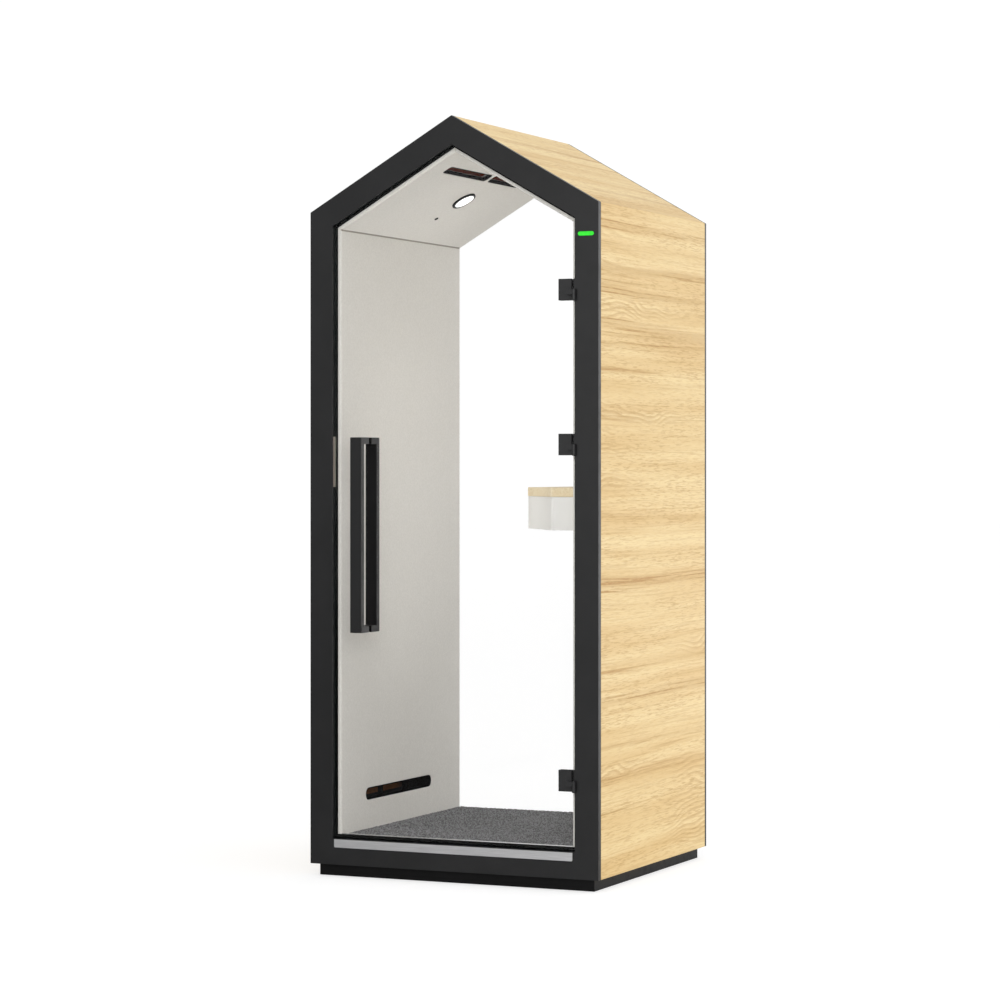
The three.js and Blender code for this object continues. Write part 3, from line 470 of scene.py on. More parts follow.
def eased(node, look, edge=SAWN_EDGE, rounds=1):
    """A copy of a solid with bevelled edges, in its finish, that stands for it."""
    work = merged_copy(node)
    sharp = [e for e in work.edges if len(e.link_faces) == 2 and e.calc_face_angle() > SHARP]
    bevel = {"offset": edge, "segments": rounds, "profile": ROUND_PROFILE, "clamp_overlap": True}
    bmesh.ops.bevel(work, geom=sharp, affect="EDGES", **bevel)
    piece = shown(node + "_eased", smooth_mesh(work, node + "_eased", look, CREASE), body_of[node])
    even = piece.modifiers.new("even_shading", "WEIGHTED_NORMAL")
    even.keep_sharp = True
    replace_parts(piece, node)
    return piece


print("edges meeting over", round(math.degrees(SHARP)), "degrees are eased")

# %% [markdown]
# ## Oak
# The skin is oak veneer, pale honey, with its grain running front to back on walls and roof. A slow sway
# bends the whole grain, and noise drawn out along it gives the drift between two pale tones, the broad
# darker bands and the fine lines that gather in them. Here and there the year rings show as flat arches:
# a count across the grain, shifted by a slow noise, turns over once a ring. Fibre streaks and short
# slanting pores lie over it all.

# %% Oak finish
RINGS_PER_METRE = 60
ARCH_BEND_RINGS = 9
GRAIN_SWAY = 0.026
PORE_TILT = math.radians(4)
BAND_SHARE = 0.42
LINE_SHARE = 0.24
LINE_SHARE_IN_BANDS = 0.6
RING_SHARE = 0.03
RING_SHARE_IN_ARCHES = 0.4
STREAK_SHARE = 0.5
PORE_SHARE = 0.5
PORE_LEAST = 0.4


def along(share):
    """A stretch that draws a pattern out along Y, the way of the grain: the smaller, the longer."""
    return (1, share, 1)


def veneer(name, pale, mid, dark):
    """Flat-sliced oak in three tones, with its grain along Y."""
    made = finish(name)
    across = made.axis("Z") - abs(made.axis("X")) * math.tan(PITCH)
    sway = made.noise(size=0.7, detail=1.0, stretch=along(0.8)) * GRAIN_SWAY
    drift = made.noise(size=0.06, detail=3.0, stretch=along(0.03), lift=sway).band(0.32, 0.68)
    bands = made.noise(size=0.045, detail=3.0, stretch=along(0.016), lift=sway).band(0.55, 0.68)
    lines = made.noise(size=0.0065, detail=3.0, stretch=along(0.012), lift=sway).band(0.54, 0.63)
    arch_zone = made.noise(size=0.1, detail=0.0, stretch=along(0.06), lift=sway).band(0.58, 0.7)
    arches = made.noise(size=0.2, detail=1.0, stretch=along(0.6)) * ARCH_BEND_RINGS
    rings = (across * RINGS_PER_METRE + arches).fraction()
    late_wood = rings.band(0.2, 0.8) * rings.band(1.0, 0.85)
    fibre = made.noise(size=0.003, detail=4.0, stretch=along(0.06), lift=sway)
    pore_zone = made.noise(size=0.07, detail=1.0, stretch=along(0.07), lift=sway).band(0.4, 0.6)
    slits = made.noise(size=0.0028, detail=2.0, stretch=along(0.06), tilt=PORE_TILT).band(0.5, 0.66)
    pores = slits * (pore_zone * (1 - PORE_LEAST) + PORE_LEAST)
    ground = made.mix(drift, tone(pale), tone(mid))
    banding = bands * BAND_SHARE + lines * (bands * LINE_SHARE_IN_BANDS + LINE_SHARE)
    banded = made.mix(banding, ground, tone(dark))
    ringed = made.mix(late_wood * (arch_zone * RING_SHARE_IN_ARCHES + RING_SHARE), banded, tone(dark))
    streaked = made.mix(fibre.band(0.42, 0.7) * STREAK_SHARE, ringed, tone(mid))
    return made.wear(
        Base_Color=made.mix(pores * PORE_SHARE, streaked, tone(dark)),
        Roughness=0.46 + fibre * 0.14,
        Normal=made.bump(fibre - pores * 0.5, depth=0.0002, strength=0.3),
    )


oak = veneer("honey_oak", pale="F3DAA2", mid="E3C182", dark="BA8A40")
shelf_oak = veneer("shelf_oak", pale="F0E2C4", mid="E6D3AC", dark="D3BA8A")
OAK_BOARDS = ("left_side_panel", "right_side_panel", "left_roof_panel", "right_roof_panel")
for node in OAK_BOARDS:
    eased(node, oak)
eased("shelf_top", shelf_oak, SOFT_EDGE, rounds=2)
print("oak on", len(OAK_BOARDS) + 1, "boards")

# %% [markdown]
# ## Black board
# The front and rear frames and the plinth are black laminated board. The face is a hard, fine
# pearl texture: almost even in colour, with a tiny grain that breaks up its shine. The plinth gets a
# darker, duller copy of the board as painted shade, because it stands back under the frames.

# %% Black board finish
def pearl(name, dark, light, grain, rough, shine=0.4):
    """A dark moulded or laminated surface with a fine pearl grain."""
    made = finish(name)
    beads = made.cells(grain)
    clouds = made.noise(size=0.12, detail=3.0).band(0.35, 0.7)
    smudge = made.noise(size=0.035, detail=4.0).band(0.45, 0.75)
    return made.wear(
        Base_Color=made.mix(clouds * 0.6 + beads * 0.4, tone(dark), tone(light)),
        Roughness=rough + smudge * 0.08 + beads * 0.06,
        Specular_IOR_Level=shine,
        Normal=made.bump(beads, depth=grain * 0.2, strength=0.25),
    )


black_board = pearl("black_laminate", "121213", "1A1A1B", grain=0.0011, rough=0.36, shine=0.38)
# Painted shade: the plinth's board is the frames' laminate, made darker and duller.
plinth_board_shaded = pearl("plinth_laminate_painted_shade", "070707", "0C0C0D", grain=0.0011, rough=0.4, shine=0.16)
for node in ("front_frame", "rear_frame"):
    eased(node, black_board, BOARD_EDGE)
eased("plinth_frame", plinth_board_shaded, BOARD_EDGE)
print("black board on the frames and the plinth")

# %% [markdown]
# ## Black plastic, rubber and painted metal
# Small dark pieces differ by their shine. Moulded plastic is a little glossy, and the vents are dull.
# Rubber is dull and slightly dusty. The hinges and pulls are powder-coated metal with a fine
# orange-peel. The pull inside the booth has the same coat, made darker and less shiny as painted shade.

# %% Dark finishes
black_plastic = pearl("black_moulding", "0E0E0E", "161617", grain=0.0009, rough=0.4)
vent_plastic = pearl("vent_moulding", "060606", "0E0E0E", grain=0.0009, rough=0.6, shine=0.0)
hinge_coat = pearl("hinge_powder_coat", "171718", "202021", grain=0.0007, rough=0.42)
pull_coat = pearl("pull_powder_coat", "0C0C0D", "121213", grain=0.0007, rough=0.4)
# Painted shade: the inner pull is the outer pull's coat, made darker and less shiny.
inner_coat_shaded = pearl("inner_pull_coat_painted_shade", "060607", "0A0A0B", grain=0.0007, rough=0.4, shine=0.25)
rubber = pearl("seal_rubber", "030303", "090909", grain=0.0005, rough=0.7, shine=0.0)

for node in ("power_gland", "indicator_housing"):
    eased(node, black_plastic, FINE_EDGE)
for node in ("wall_vent", "roof_vent_front", "roof_vent_rear", "presence_sensor"):
    eased(node, vent_plastic, FINE_EDGE)
for end in ("front", "rear"):
    eased(f"fan_housing_{end}", black_plastic, FINE_EDGE)
    eased(f"fan_rotor_{end}", black_plastic, HAIR_EDGE)
for corner in ("front_left", "front_right", "rear_left", "rear_right"):
    eased(f"levelling_foot_{corner}", black_plastic, MOULDED_EDGE)
for level in HINGE_LEVELS:
    for part in ("clamp_front", "clamp_rear", "leaf", "pin"):
        eased(f"hinge_{part}_{level}", hinge_coat, FINE_EDGE)
eased("outer_handle", pull_coat, BOARD_EDGE, rounds=2)
eased("inner_handle", inner_coat_shaded, BOARD_EDGE, rounds=2)
eased("light_housing", vent_plastic, THIN_EDGE)
print("vents, fans, feet, hinges and pulls finished")

# %% [markdown]
# ## Bright metal
# The strip on the bottom rail and the carpet's edge trim are brushed aluminium: fine scratches all
# run along the length. The catch in the jamb and its keeper on the glass are satin steel.

# %% Bright metal finishes
SCRATCHED_ALONG_X = (0.01, 1, 1)
SCRATCHED_ALONG_Z = (1, 1, 0.02)


def brushed(name, dark, light, rough, run):
    """Bare metal with fine scratches along the axis that run leaves long."""
    made = finish(name)
    scratch = made.noise(size=0.0006, detail=2.0, stretch=run)
    streak = made.noise(size=0.006, detail=3.0, stretch=run)
    return made.wear(
        Base_Color=made.mix(scratch.band(0.3, 0.7) * 0.6 + streak * 0.4, tone(dark), tone(light)),
        Metallic=0.9,
        Roughness=rough + scratch * 0.18,
        Normal=made.bump(scratch, depth=0.00005, strength=0.4),
    )


aluminium = brushed("brushed_aluminium", "B8B8B9", "DCDCDD", rough=0.3, run=SCRATCHED_ALONG_X)
trim_metal = brushed("trim_aluminium", "E0E0E0", "F4F4F4", rough=0.12, run=SCRATCHED_ALONG_X)
steel = brushed("satin_steel", "C9BBB2", "E6D8CE", rough=0.42, run=SCRATCHED_ALONG_Z)
eased("threshold_strip", aluminium, FINE_EDGE)
eased("floor_edge_trim", trim_metal, FINE_EDGE)
eased("catch_plate", steel, FINE_EDGE)
eased("door_keeper", steel, HAIR_EDGE)
print("strip, trim, catch and keeper finished")

# %% [markdown]
# ## Hidden boards
# Behind the felt is an absorbing core of wood fibre, seen only as a warm brown in the vents. The wall
# cores are painted a darker brown, and near black outside the front of the wall vent's slot and the
# middle of its height: painted shade, where the deep slot lets little light in. The floor is a board
# deck on a base panel, with the look of pressed chips all the same.

# %% Board finishes
LIT_LENGTH = (0.3, 0.1)
LIT_HEIGHT = (0.34, 0.24)
CORE_SHADOW = tone("080706")


def lit_through_vent(made):
    """1 where light would fall through the wall vent, 0 round it, in shares of the vent's length and
    height: the mask of a painted shade.
    """
    low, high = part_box("wall_vent")
    middle = (low + high) / 2
    rearward = (made.axis("Y") - middle.y) * (1 / (high.y - low.y))
    off_middle = abs(made.axis("Z") - middle.z) * (1 / (high.z - low.z))
    return rearward.band(*LIT_LENGTH) * off_middle.band(*LIT_HEIGHT)


def pressed(name, dark, light, chip, lit=None):
    """Pressed wood fibre or chips: flakes in two tones, rough all over, in painted shadow where lit is 0.
    """
    made = finish(name)
    flakes = made.cells(chip, along(0.5))
    strands = made.noise(size=chip * 0.3, detail=4.0, stretch=along(0.3))
    colour = made.mix(flakes * 0.7 + strands * 0.4, tone(dark), tone(light))
    if lit is not None:
        colour = made.mix(lit(made), CORE_SHADOW, colour)
    return made.wear(
        Base_Color=colour,
        Roughness=0.85 + strands * 0.1,
        Specular_IOR_Level=0.1,
        Normal=made.bump(flakes + strands, depth=0.0006, strength=0.6),
    )


wood_fibre = pressed("wood_fibre", "7C2C0A", "9E4012", chip=0.006)
# Painted shade: the wall cores are a darker copy of the roof cores' brown, near black outside the vent's
# lit part.
shaded_fibre = pressed("shaded_wood_fibre", "4A2A0E", "6B4118", chip=0.006, lit=lit_through_vent)
base_board = pressed("base_chipboard", "54483C", "78674F", chip=0.008)
for side in ("left", "right"):
    eased(f"{side}_wall_core", shaded_fibre, MOULDED_EDGE)
    eased(f"{side}_roof_core", wood_fibre, MOULDED_EDGE)
eased("base_panel", base_board)
eased("floor_deck", base_board)
print("cores, base and deck finished")

# %% [markdown]
# ## Shelf box and power supply
# The shelf's box is sprayed in a pale warm white with the faint orange-peel of a spray gun. The power
# supply hidden in the ceiling has a grey metal case.

# %% Painted finishes
def sprayed(name, dark, light, rough):
    """Sprayed paint: an even colour with a shallow orange-peel."""
    made = finish(name)
    peel = made.noise(size=0.0016, detail=2.0)
    cloud = made.noise(size=0.15, detail=2.0)
    return made.wear(
        Base_Color=made.mix(cloud, tone(dark), tone(light)),
        Roughness=rough + peel * 0.1,
        Normal=made.bump(peel, depth=0.0001, strength=0.3),
    )


shelf_paint = sprayed("shelf_paint", "E4E2DC", "EAE9E5", rough=0.42)
case_paint = sprayed("supply_case_paint", "86868A", "98989B", rough=0.4)
eased("shelf_box", shelf_paint, SOFT_EDGE, rounds=2)
eased("power_supply", case_paint, SOFT_EDGE, rounds=2)
print("shelf box and power supply finished")

# %% [markdown]
# ## Glass
# The door and the rear pane are clear toughened glass. A pane this thin hardly bends what is seen
# through it, so a see-through shader is mixed with a mirror by Fresnel: faint reflections from the
# front, stronger ones at a glance. The ground cut edges, which face sideways on the pane itself however
# the door stands, are a little green and dull.

# %% Glass finish
EDGE_TINT = tone("E2ECE8")
EDGE_GREEN = tone("26332F")
EDGE_SHARE = 0.15
FACE_TO_EDGE = (0.6, 0.4)
GLASS_BEND = 1.45
MIRROR_SHARE = 0.35
MIRROR_ROUGH = 0.02

glass = finish("clear_glass")
clear = glass.node("ShaderNodeBsdfTransparent", {}, {"Color": WHITE}).outputs[0]
mirror = glass.node("ShaderNodeBsdfGlossy", {}, {"Color": WHITE, "Roughness": MIRROR_ROUGH}).outputs[0]
glance = glass.field("ShaderNodeFresnel", {}, {"IOR": GLASS_BEND}) * MIRROR_SHARE
face = glass.blend(glance, clear, mirror)

outward = glass.node("ShaderNodeNewGeometry").outputs["True Normal"]
own_space = {"vector_type": "NORMAL", "convert_from": "WORLD", "convert_to": "OBJECT"}
own_normal = glass.node("ShaderNodeVectorTransform", own_space, {0: outward}).outputs[0]
cut_edge = abs(glass.axis("Y", own_normal)).band(*FACE_TO_EDGE)
ripple = glass.noise(size=0.02, detail=2.0)
glass.wear(Base_Color=EDGE_GREEN, Roughness=0.5 + ripple * 0.06, Specular_IOR_Level=0.1)
through = glass.node("ShaderNodeBsdfTransparent", {}, {"Color": EDGE_TINT}).outputs[0]
ground_edge = glass.blend(EDGE_SHARE, through, glass.shader.outputs[0])
glass.show(glass.blend(cut_edge, face, ground_edge))

for node in PANES:
    solids[node].material_slots[0].material = glass.owner
print("glass on the door and the rear pane")

# %% [markdown]
# ## Light and lamp
# The ceiling light glows white behind a frosted disc, and the green lens on the right stile shows that
# the booth is free. The glow of both is slightly uneven, as frosted plastic is. Round the light the
# housing's dark lip covers the rim of the disc.

# %% Glowing finishes
LIP_RADIUS = 0.0325
LIP_EDGE = 0.0004
LIP_SHIFT = Vector((0, 0.0025, 0))
LIP_BLACK = tone("101010")


def under_lip(made):
    """1 on the rim of the light's disc, 0 inside it."""
    to_axis = made.measure("DISTANCE", made.spot(), diffuser_middle + LIP_SHIFT)
    return to_axis.band(LIP_RADIUS, LIP_RADIUS + LIP_EDGE)


def glowing(name, base, dim, bright, strength, haze_size, covered=None):
    """A lit, frosted plastic with slight unevenness in its glow, dark where it is covered."""
    made = finish(name)
    haze = made.noise(size=haze_size, detail=2.0)
    body = tone(base)
    shine = made.mix(haze.band(0.25, 0.75), tone(dim), tone(bright))
    if covered is not None:
        cover = covered(made)
        body = made.mix(cover, body, LIP_BLACK)
        shine = made.mix(cover, shine, BLACK)
    return made.wear(
        Base_Color=body,
        Roughness=0.3 + haze * 0.15,
        Emission_Color=shine,
        Emission_Strength=strength,
    )


white_light = {"base": "E8E8E4", "dim": "F6F6F2", "bright": "FFFFFF", "strength": 1.2, "haze_size": 0.02}
green_light = {"base": "032003", "dim": "20EA20", "bright": "2AF62A", "strength": 0.95, "haze_size": 0.01}
light_glow = glowing("light_diffuser", covered=under_lip, **white_light)
green_glow = glowing("green_lens", **green_light)
eased("light_diffuser", light_glow, MOULDED_EDGE)
eased("indicator_lens", green_glow, MOULDED_EDGE)
print("light and lens glowing")

# %% [markdown]
# ## Felt liners
# The inside is lined with board wrapped in thick wool felt. The edges are rounded where the felt is
# pulled over, and the surface is a mat of short fibres in slightly different greys. A painted shade
# darkens it in the seam where wall and ceiling meet. Each liner is a soft copy of its solid with wide
# round edges.

# %% Felt finish
FELT_PALE = tone("E6E3DD")
FELT_GREY = tone("D0CDC6")
FELT_SEAM_SHADE = tone("756A58")
SEAM_RADIUS = 0.004
SEAM_CORE = 0.00173
SEAM_SHADE_SHARE = 0.75
FLAT_HAIR = (1, 0.12, 1)
UPRIGHT_HAIR = (1, 1, 0.12)
LINERS = ("left_wall_liner", "right_wall_liner", "left_ceiling_liner", "right_ceiling_liner")

felt = finish("wool_felt")
from_wall = abs(felt.axis("X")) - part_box("right_wall_liner")[0].x
from_top = felt.axis("Z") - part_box("right_ceiling_liner")[0].z
# Painted shade: the felt darkens towards the line where the wall and ceiling liners meet.
seam_shade = (from_wall * from_wall + from_top * from_top).band(SEAM_RADIUS ** 2, SEAM_CORE ** 2)
mat = felt.noise(size=0.0013, detail=4.0, bend=1.5)
flat_hair = felt.noise(size=0.0009, detail=2.0, stretch=FLAT_HAIR, bend=2.0)
upright_hair = felt.noise(size=0.0009, detail=2.0, stretch=UPRIGHT_HAIR, bend=2.0)
hair = flat_hair * 0.5 + upright_hair * 0.5
mottle = felt.noise(size=0.006, detail=2.0)
patch = felt.noise(size=0.05, detail=3.0)
fleck = mat.band(0.3, 0.75) * 0.4 + mottle.band(0.35, 0.65) * 0.25 + hair * 0.15 + patch * 0.15
felt.wear(
    Base_Color=felt.mix(seam_shade * SEAM_SHADE_SHARE, felt.mix(fleck, FELT_PALE, FELT_GREY), FELT_SEAM_SHADE),
    Roughness=0.9 + mat * 0.08,
    Sheen_Weight=0.25,
    Sheen_Roughness=0.5,
    Normal=felt.bump(mat * 0.6 + hair * 0.4, depth=0.0006, strength=0.5),
)

for node in LINERS:
    pad = eased(node, felt, FELT_EDGE, rounds=3)
print("felt on", len(LINERS), "liners")

# %% [markdown]
# ## Rubber seals
# The door closes on a bulb seal, and a flat gasket beds the rear glass. The bulb seal follows the house
# outline, so each point of its section is drawn as its own house-shaped ring, with true mitres in the
# corners, and the rings are joined into one closed tube.

# %% Seal helper
def house_ring(inset, bottom, y):
    """The five corners of the booth's outline, pulled in by inset, at depth y."""
    half = HALF_WIDTH - inset
    eave = EAVE - inset * (1 / math.cos(PITCH) - math.tan(PITCH))
    ridge = EAVE + HALF_WIDTH * math.tan(PITCH) - inset / math.cos(PITCH)
    return [(-half, y, bottom), (half, y, bottom), (half, y, eave), (0, y, ridge), (-half, y, eave)]


def house_tube(name, section):
    """A closed ring from a section given as points of (inset, height of the bottom, depth)."""
    work = bmesh.new()
    rings = [[work.verts.new(p) for p in house_ring(*point)] for point in section]
    for ring, following in zip(rings, rings[1:] + rings[:1]):
        for i in range(len(ring)):
            j = (i + 1) % len(ring)
            work.faces.new((ring[i], ring[j], following[j], following[i]))
    bmesh.ops.recalc_face_normals(work, faces=work.faces)
    return smooth_mesh(work, name, rubber, SHARP)


print("rings of", len(house_ring(0, SILL, 0)), "corners")

# %% [markdown]
# The door seal has a flat lip beside the jamb and a round bulb towards the glass, with a groove between
# them. Its section is worked out from the solid's own box, so it lies inside the space that the CAD
# model gives it.

# %% Seals
BULB_STEPS = 10
BULB_SHARE = 0.55
LIP_SHARE = 0.3
BULB_FROM = 0.4
SEAL_WIDTH = 0.0065
SILL_SEAL_WIDTH = 0.012

seal_low, seal_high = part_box("door_seal")
seal_outer = HALF_WIDTH - seal_high.x
bulb_depth = (seal_high.y - seal_low.y) * BULB_SHARE
bulb_foot = seal_low.y + bulb_depth
seal_section = [(0.0, seal_high.y), (0.0, seal_low.y), (LIP_SHARE, seal_low.y), (LIP_SHARE, bulb_foot)]
for step in range(BULB_STEPS + 1):
    turn = math.pi * step / BULB_STEPS
    inward = BULB_FROM + (1 - BULB_FROM) * (1 - math.cos(turn)) / 2
    seal_section.append((inward, bulb_foot - bulb_depth * math.sin(turn)))
seal_section.append((1.0, seal_high.y))
side_width = FRAME_FACE + SEAL_WIDTH - seal_outer
sill_width = SILL + SILL_SEAL_WIDTH - seal_low.z
door_seal = house_tube(
    "door_bulb_seal",
    [(seal_outer + share * side_width, seal_low.z + share * sill_width, y) for share, y in seal_section],
)
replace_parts(shown("door_bulb_seal", door_seal, "shell"), "door_seal")

eased("rear_glazing_seal", rubber, BOARD_EDGE, rounds=2)
print("door seal", round(side_width * 1000, 1), "mm wide,", round(sill_width * 1000, 1), "mm at the sill")

# %% [markdown]
# ## Carpet
# The floor is a short, dense loop pile in mottled dark grey. Its colour comes from coarse specks, with
# fine yarn and a faint trace of traffic over them.

# %% Carpet finish
PILE_DARK = tone("363637")
PILE_LIGHT = tone("8E8E8F")

pile = finish("carpet_pile")
speckle = pile.noise(size=0.0055, detail=3.0).band(0.44, 0.56)
yarn = pile.noise(size=0.0012, detail=3.0)
traffic = pile.noise(size=0.2, detail=2.0)
pile.wear(
    Base_Color=pile.mix(speckle * 0.75 + yarn * 0.25 + traffic * 0.1, PILE_DARK, PILE_LIGHT),
    Roughness=0.92 + yarn * 0.06,
    Sheen_Weight=0.15,
    Normal=pile.bump(yarn, depth=0.0008, strength=0.6),
)
print("carpet pile mixed from two greys")

# %% [markdown]
# ## Growing pieces with Geometry Nodes
# The tufts and the screws are copies planted on points. A small class builds such a tree node by node,
# keeps its sizes as named inputs, and runs it on a starting mesh to get a plain mesh.

# %% Geometry Nodes helper
class Tree:
    """A Geometry Nodes tree whose sizes are named inputs of its modifier."""

    def __init__(self, name):
        self.group = bpy.data.node_groups.new(name, "GeometryNodeTree")
        self.values = {}
        self.start = self.group.nodes.new("NodeGroupInput")
        self.end = self.group.nodes.new("NodeGroupOutput")
        self.group.interface.new_socket("Geometry", in_out="INPUT", socket_type="NodeSocketGeometry")
        self.group.interface.new_socket("Geometry", in_out="OUTPUT", socket_type="NodeSocketGeometry")

    def size(self, name, kind, value):
        """A named input with its value, as a socket that other nodes can use."""
        made = self.group.interface.new_socket(name, in_out="INPUT", socket_type="NodeSocket" + kind)
        self.values[made.identifier] = value
        return self.start.outputs[name]

    def node(self, kind, settings=(), sockets=()):
        made = self.group.nodes.new(kind)
        for name, value in dict(settings).items():
            setattr(made, name, value)
        for name, value in dict(sockets).items():
            if isinstance(value, bpy.types.NodeSocket):
                self.group.links.new(value, made.inputs[name])
            else:
                made.inputs[name].default_value = value
        return made

    def scaled(self, vector, factor):
        """A vector made longer by a factor."""
        sockets = {0: vector, "Scale": factor}
        return self.node("ShaderNodeVectorMath", {"operation": "SCALE"}, sockets).outputs[0]

    def scatter(self, least, most, seed):
        """A random vector for each point, between the two corners of a box."""
        sockets = {0: least, 1: most, "Seed": seed}
        return self.node("FunctionNodeRandomValue", {"data_type": "FLOAT_VECTOR"}, sockets).outputs[0]

    def close(self, geometry, look):
        """Turn instances into real faces, set their finish and end the tree."""
        real = self.node("GeometryNodeRealizeInstances", {}, {"Geometry": geometry}).outputs[0]
        painted = self.node("GeometryNodeSetMaterial", {}, {"Geometry": real, "Material": look.owner})
        self.group.links.new(painted.outputs[0], self.end.inputs[0])

    def grow(self, name, seed_mesh):
        """Run the tree on a mesh and return the result as a plain mesh."""
        holder = bpy.data.objects.new(name + "_seed", seed_mesh)
        scene.collection.objects.link(holder)
        modifier = holder.modifiers.new("grow", "NODES")
        modifier.node_group = self.group
        for identifier, value in self.values.items():
            modifier[identifier] = value
        bpy.context.view_layer.update()
        grown = holder.evaluated_get(bpy.context.evaluated_depsgraph_get())
        mesh = bpy.data.meshes.new_from_object(grown)
        holder.modifiers.remove(modifier)
        bpy.data.objects.remove(holder)
        mesh.name = name
        return mesh


print("Geometry Nodes helper ready")

# %% [markdown]
# ## Carpet tufts
# The tree plants one small tuft on every point of a grid, each leaning, turning and sized a little
# differently, on a closed backing. The grid stays far enough inside the carpet's box, and low enough,
# that no leaning tuft reaches out of it.

# %% Carpet tufts
TUFT_PITCH = 0.0075
TUFT_HEIGHT = 0.0042
TUFT_RADIUS = 0.0042
TUFT_TIP_RADIUS = 0.0015
TUFT_SIDES = 4
TUFT_LEAN = 0.35
TUFT_WANDER = 0.3
TUFT_SWELL = (0.7, 1.0)
TUFT_SUNK_SHARE = 0.3
CARPET_SEED = 7

carpet_low, carpet_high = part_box("carpet")
span = carpet_high - carpet_low
middle = (carpet_low + carpet_high) / 2
tuft_reach = math.hypot(TUFT_HEIGHT, TUFT_TIP_RADIUS)
tuft_margin = TUFT_RADIUS + TUFT_WANDER * TUFT_PITCH
backing_top = carpet_high.z - tuft_reach

tufts = Tree("carpet_tufts")
pitch = tufts.size("Pitch", "Float", TUFT_PITCH)
height = tufts.size("Tuft height", "Float", TUFT_HEIGHT)
radius = tufts.size("Tuft radius", "Float", TUFT_RADIUS)
lean = tufts.size("Lean", "Float", TUFT_LEAN)
seed = tufts.size("Seed", "Int", CARPET_SEED)
grid = tufts.node("GeometryNodeMeshGrid", {}, {
    "Size X": span.x - 2 * tuft_margin,
    "Size Y": span.y - 2 * tuft_margin,
    "Vertices X": int(span.x / TUFT_PITCH),
    "Vertices Y": int(span.y / TUFT_PITCH),
}).outputs[0]
wander = Vector((TUFT_WANDER, TUFT_WANDER, 0.0))
offset = tufts.scatter(tufts.scaled(-wander, pitch), tufts.scaled(wander, pitch), seed)
lifted = tufts.node("ShaderNodeVectorMath", {"operation": "ADD"}, {
    0: offset, 1: (middle.x, middle.y, backing_top),
}).outputs[0]
spots = tufts.node("GeometryNodeSetPosition", {}, {"Geometry": grid, "Offset": lifted}).outputs[0]
tuft = tufts.node("GeometryNodeMeshCone", {"fill_type": "TRIANGLE_FAN"}, {
    "Vertices": TUFT_SIDES, "Radius Top": TUFT_TIP_RADIUS, "Radius Bottom": radius, "Depth": height,
}).outputs[0]
most_tilt = tufts.node("ShaderNodeCombineXYZ", {}, {"X": lean, "Y": lean, "Z": math.pi}).outputs[0]
tilt = tufts.scatter(tufts.scaled(most_tilt, -1.0), most_tilt, seed)
swell = tufts.node("FunctionNodeRandomValue", {"data_type": "FLOAT"}, {
    2: TUFT_SWELL[0], 3: TUFT_SWELL[1], "Seed": seed,
}).outputs[1]
planted = tufts.node("GeometryNodeInstanceOnPoints", {}, {
    "Points": spots, "Instance": tuft, "Rotation": tilt, "Scale": swell,
}).outputs[0]
with_backing = tufts.node("GeometryNodeJoinGeometry")
tufts.group.links.new(tufts.start.outputs["Geometry"], with_backing.inputs[0])
tufts.group.links.new(planted, with_backing.inputs[0])
tufts.close(with_backing.outputs[0], pile)

backing = bpy.data.meshes.new("carpet_backing")
slab = bmesh.new()
for corner in bmesh.ops.create_cube(slab, size=1.0)["verts"]:
    corner.co = Vector((
        middle.x + corner.co.x * span.x,
        middle.y + corner.co.y * span.y,
        carpet_low.z if corner.co.z < 0 else backing_top + TUFT_HEIGHT * TUFT_SUNK_SHARE,
    ))
slab.to_mesh(backing)
slab.free()
carpet_mesh = tufts.grow("tufted_carpet", backing)
carpet_piece = shown("tufted_carpet", carpet_mesh, "shell")
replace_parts(carpet_piece, "carpet")
print("carpet of", len(carpet_mesh.polygons), "faces")

# %% [markdown]
# ## Screws
# Small socket screws hold the hinge leaves to the jamb, the rear clamp plates to the glass and the
# catch plate in its pocket. One Geometry Nodes tree makes the head, sinks its socket and puts a copy
# on each point, turned to the point's own facing. Screws on the door ride with the door.

# %% Screws
SCREW_RADIUS = 0.0032
SCREW_HEIGHT = 0.0012
SCREW_SIDES = 20
SOCKET_SHARE = 0.5
SOCKET_DEPTH = 0.0009
CLAMP_SCREWS = (0.25, 0.75)
LEAF_SCREWS = (0.2, 0.8)
LEAF_SCREW_DEPTH = 0.72
LEAF_PROUD = 0.0033
CATCH_SCREW_INSET = 0.012


def screw_points(name, places):
    """A mesh of loose points with the way each screw faces."""
    mesh = bpy.data.meshes.new(name)
    mesh.from_pydata([place for place, way in places], [], [])
    facing = mesh.attributes.new("facing", "FLOAT_VECTOR", "POINT")
    for item, (place, way) in zip(facing.data, places):
        item.vector = way
    return mesh


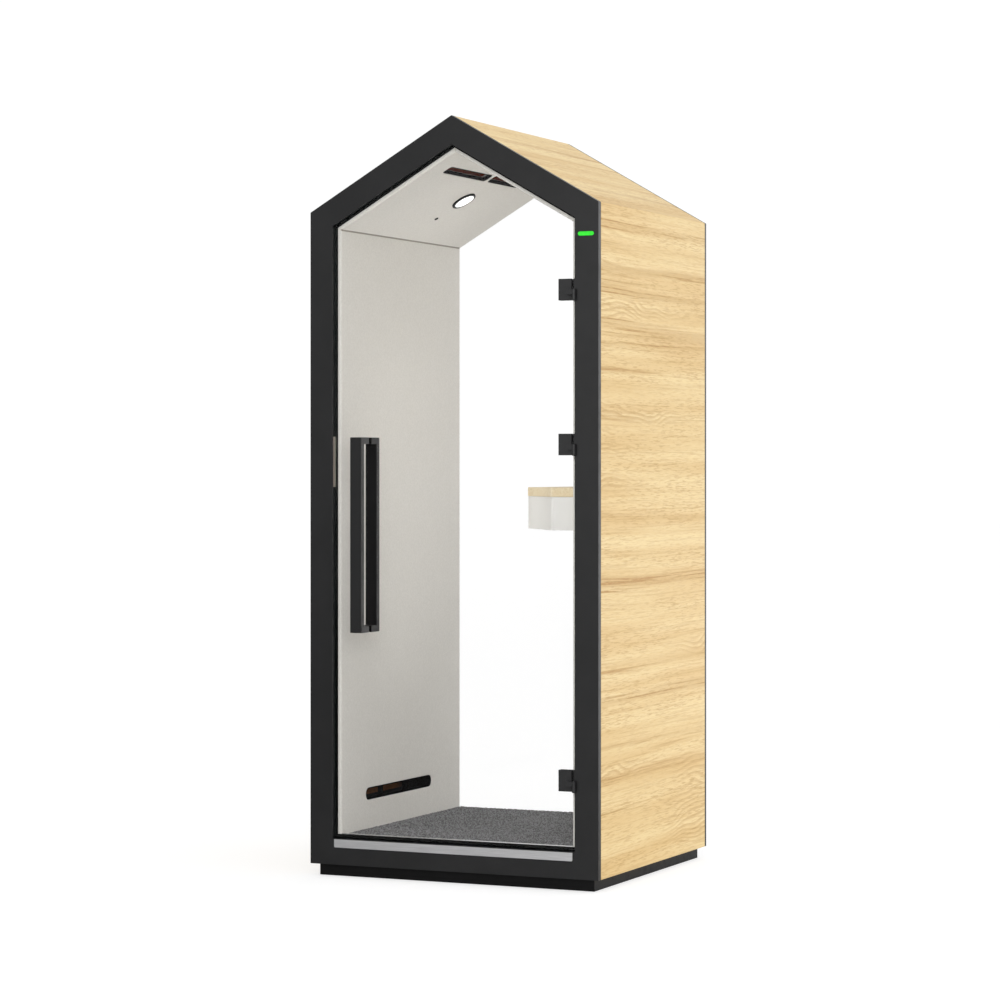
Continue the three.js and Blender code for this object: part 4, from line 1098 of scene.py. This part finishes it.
def screw_tree(look):
    """A tree that puts a socket screw on each point, turned to the point's facing."""
    tree = Tree("socket_screws")
    radius = tree.size("Radius", "Float", SCREW_RADIUS)
    height = tree.size("Height", "Float", SCREW_HEIGHT)
    share = tree.size("Socket share", "Float", SOCKET_SHARE)
    depth = tree.size("Socket depth", "Float", -SOCKET_DEPTH)
    head = tree.node("GeometryNodeMeshCylinder", {}, {
        "Vertices": SCREW_SIDES, "Radius": radius, "Depth": height,
    })
    rim = tree.node("GeometryNodeExtrudeMesh", {"mode": "FACES"}, {
        "Mesh": head.outputs["Mesh"], "Selection": head.outputs["Top"], "Offset Scale": 0.0,
    })
    mouth = tree.node("GeometryNodeScaleElements", {}, {
        "Geometry": rim.outputs["Mesh"], "Selection": rim.outputs["Top"], "Scale": share,
    })
    sunk = tree.node("GeometryNodeExtrudeMesh", {"mode": "FACES"}, {
        "Mesh": mouth.outputs[0], "Selection": rim.outputs["Top"], "Offset Scale": depth,
    })
    facing = tree.node("GeometryNodeInputNamedAttribute", {"data_type": "FLOAT_VECTOR"}, {"Name": "facing"})
    turn = tree.node("FunctionNodeAlignRotationToVector", {"axis": "Z"}, {"Vector": facing.outputs[0]})
    placed = tree.node("GeometryNodeInstanceOnPoints", {}, {
        "Points": tree.start.outputs["Geometry"],
        "Instance": sunk.outputs["Mesh"],
        "Rotation": turn.outputs[0],
    })
    tree.close(placed.outputs[0], look)
    return tree


leaf_face = HALF_WIDTH - FRAME_FACE - LEAF_PROUD
door_screws = []
shell_screws = []
for level in HINGE_LEVELS:
    low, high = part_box(f"hinge_clamp_rear_{level}")
    for share in CLAMP_SCREWS:
        place = ((low.x + high.x) / 2, high.y, low.z + (high.z - low.z) * share)
        door_screws.append((place, (0, 1, 0)))
    low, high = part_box(f"hinge_leaf_{level}")
    for share in LEAF_SCREWS:
        place = (leaf_face, low.y + (high.y - low.y) * LEAF_SCREW_DEPTH, low.z + (high.z - low.z) * share)
        shell_screws.append((place, (-1, 0, 0)))
low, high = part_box("catch_plate")
for z in (low.z + CATCH_SCREW_INSET, high.z - CATCH_SCREW_INSET):
    shell_screws.append(((high.x, (low.y + high.y) / 2, z), (1, 0, 0)))

screws = screw_tree(steel)
for name, places, body in (("door_screws", door_screws, "door"), ("shell_screws", shell_screws, "shell")):
    mesh = screws.grow(name, screw_points(name + "_points", places))
    shown(name, mesh, body)
    print(name, len(places), "screws,", len(mesh.polygons), "faces")
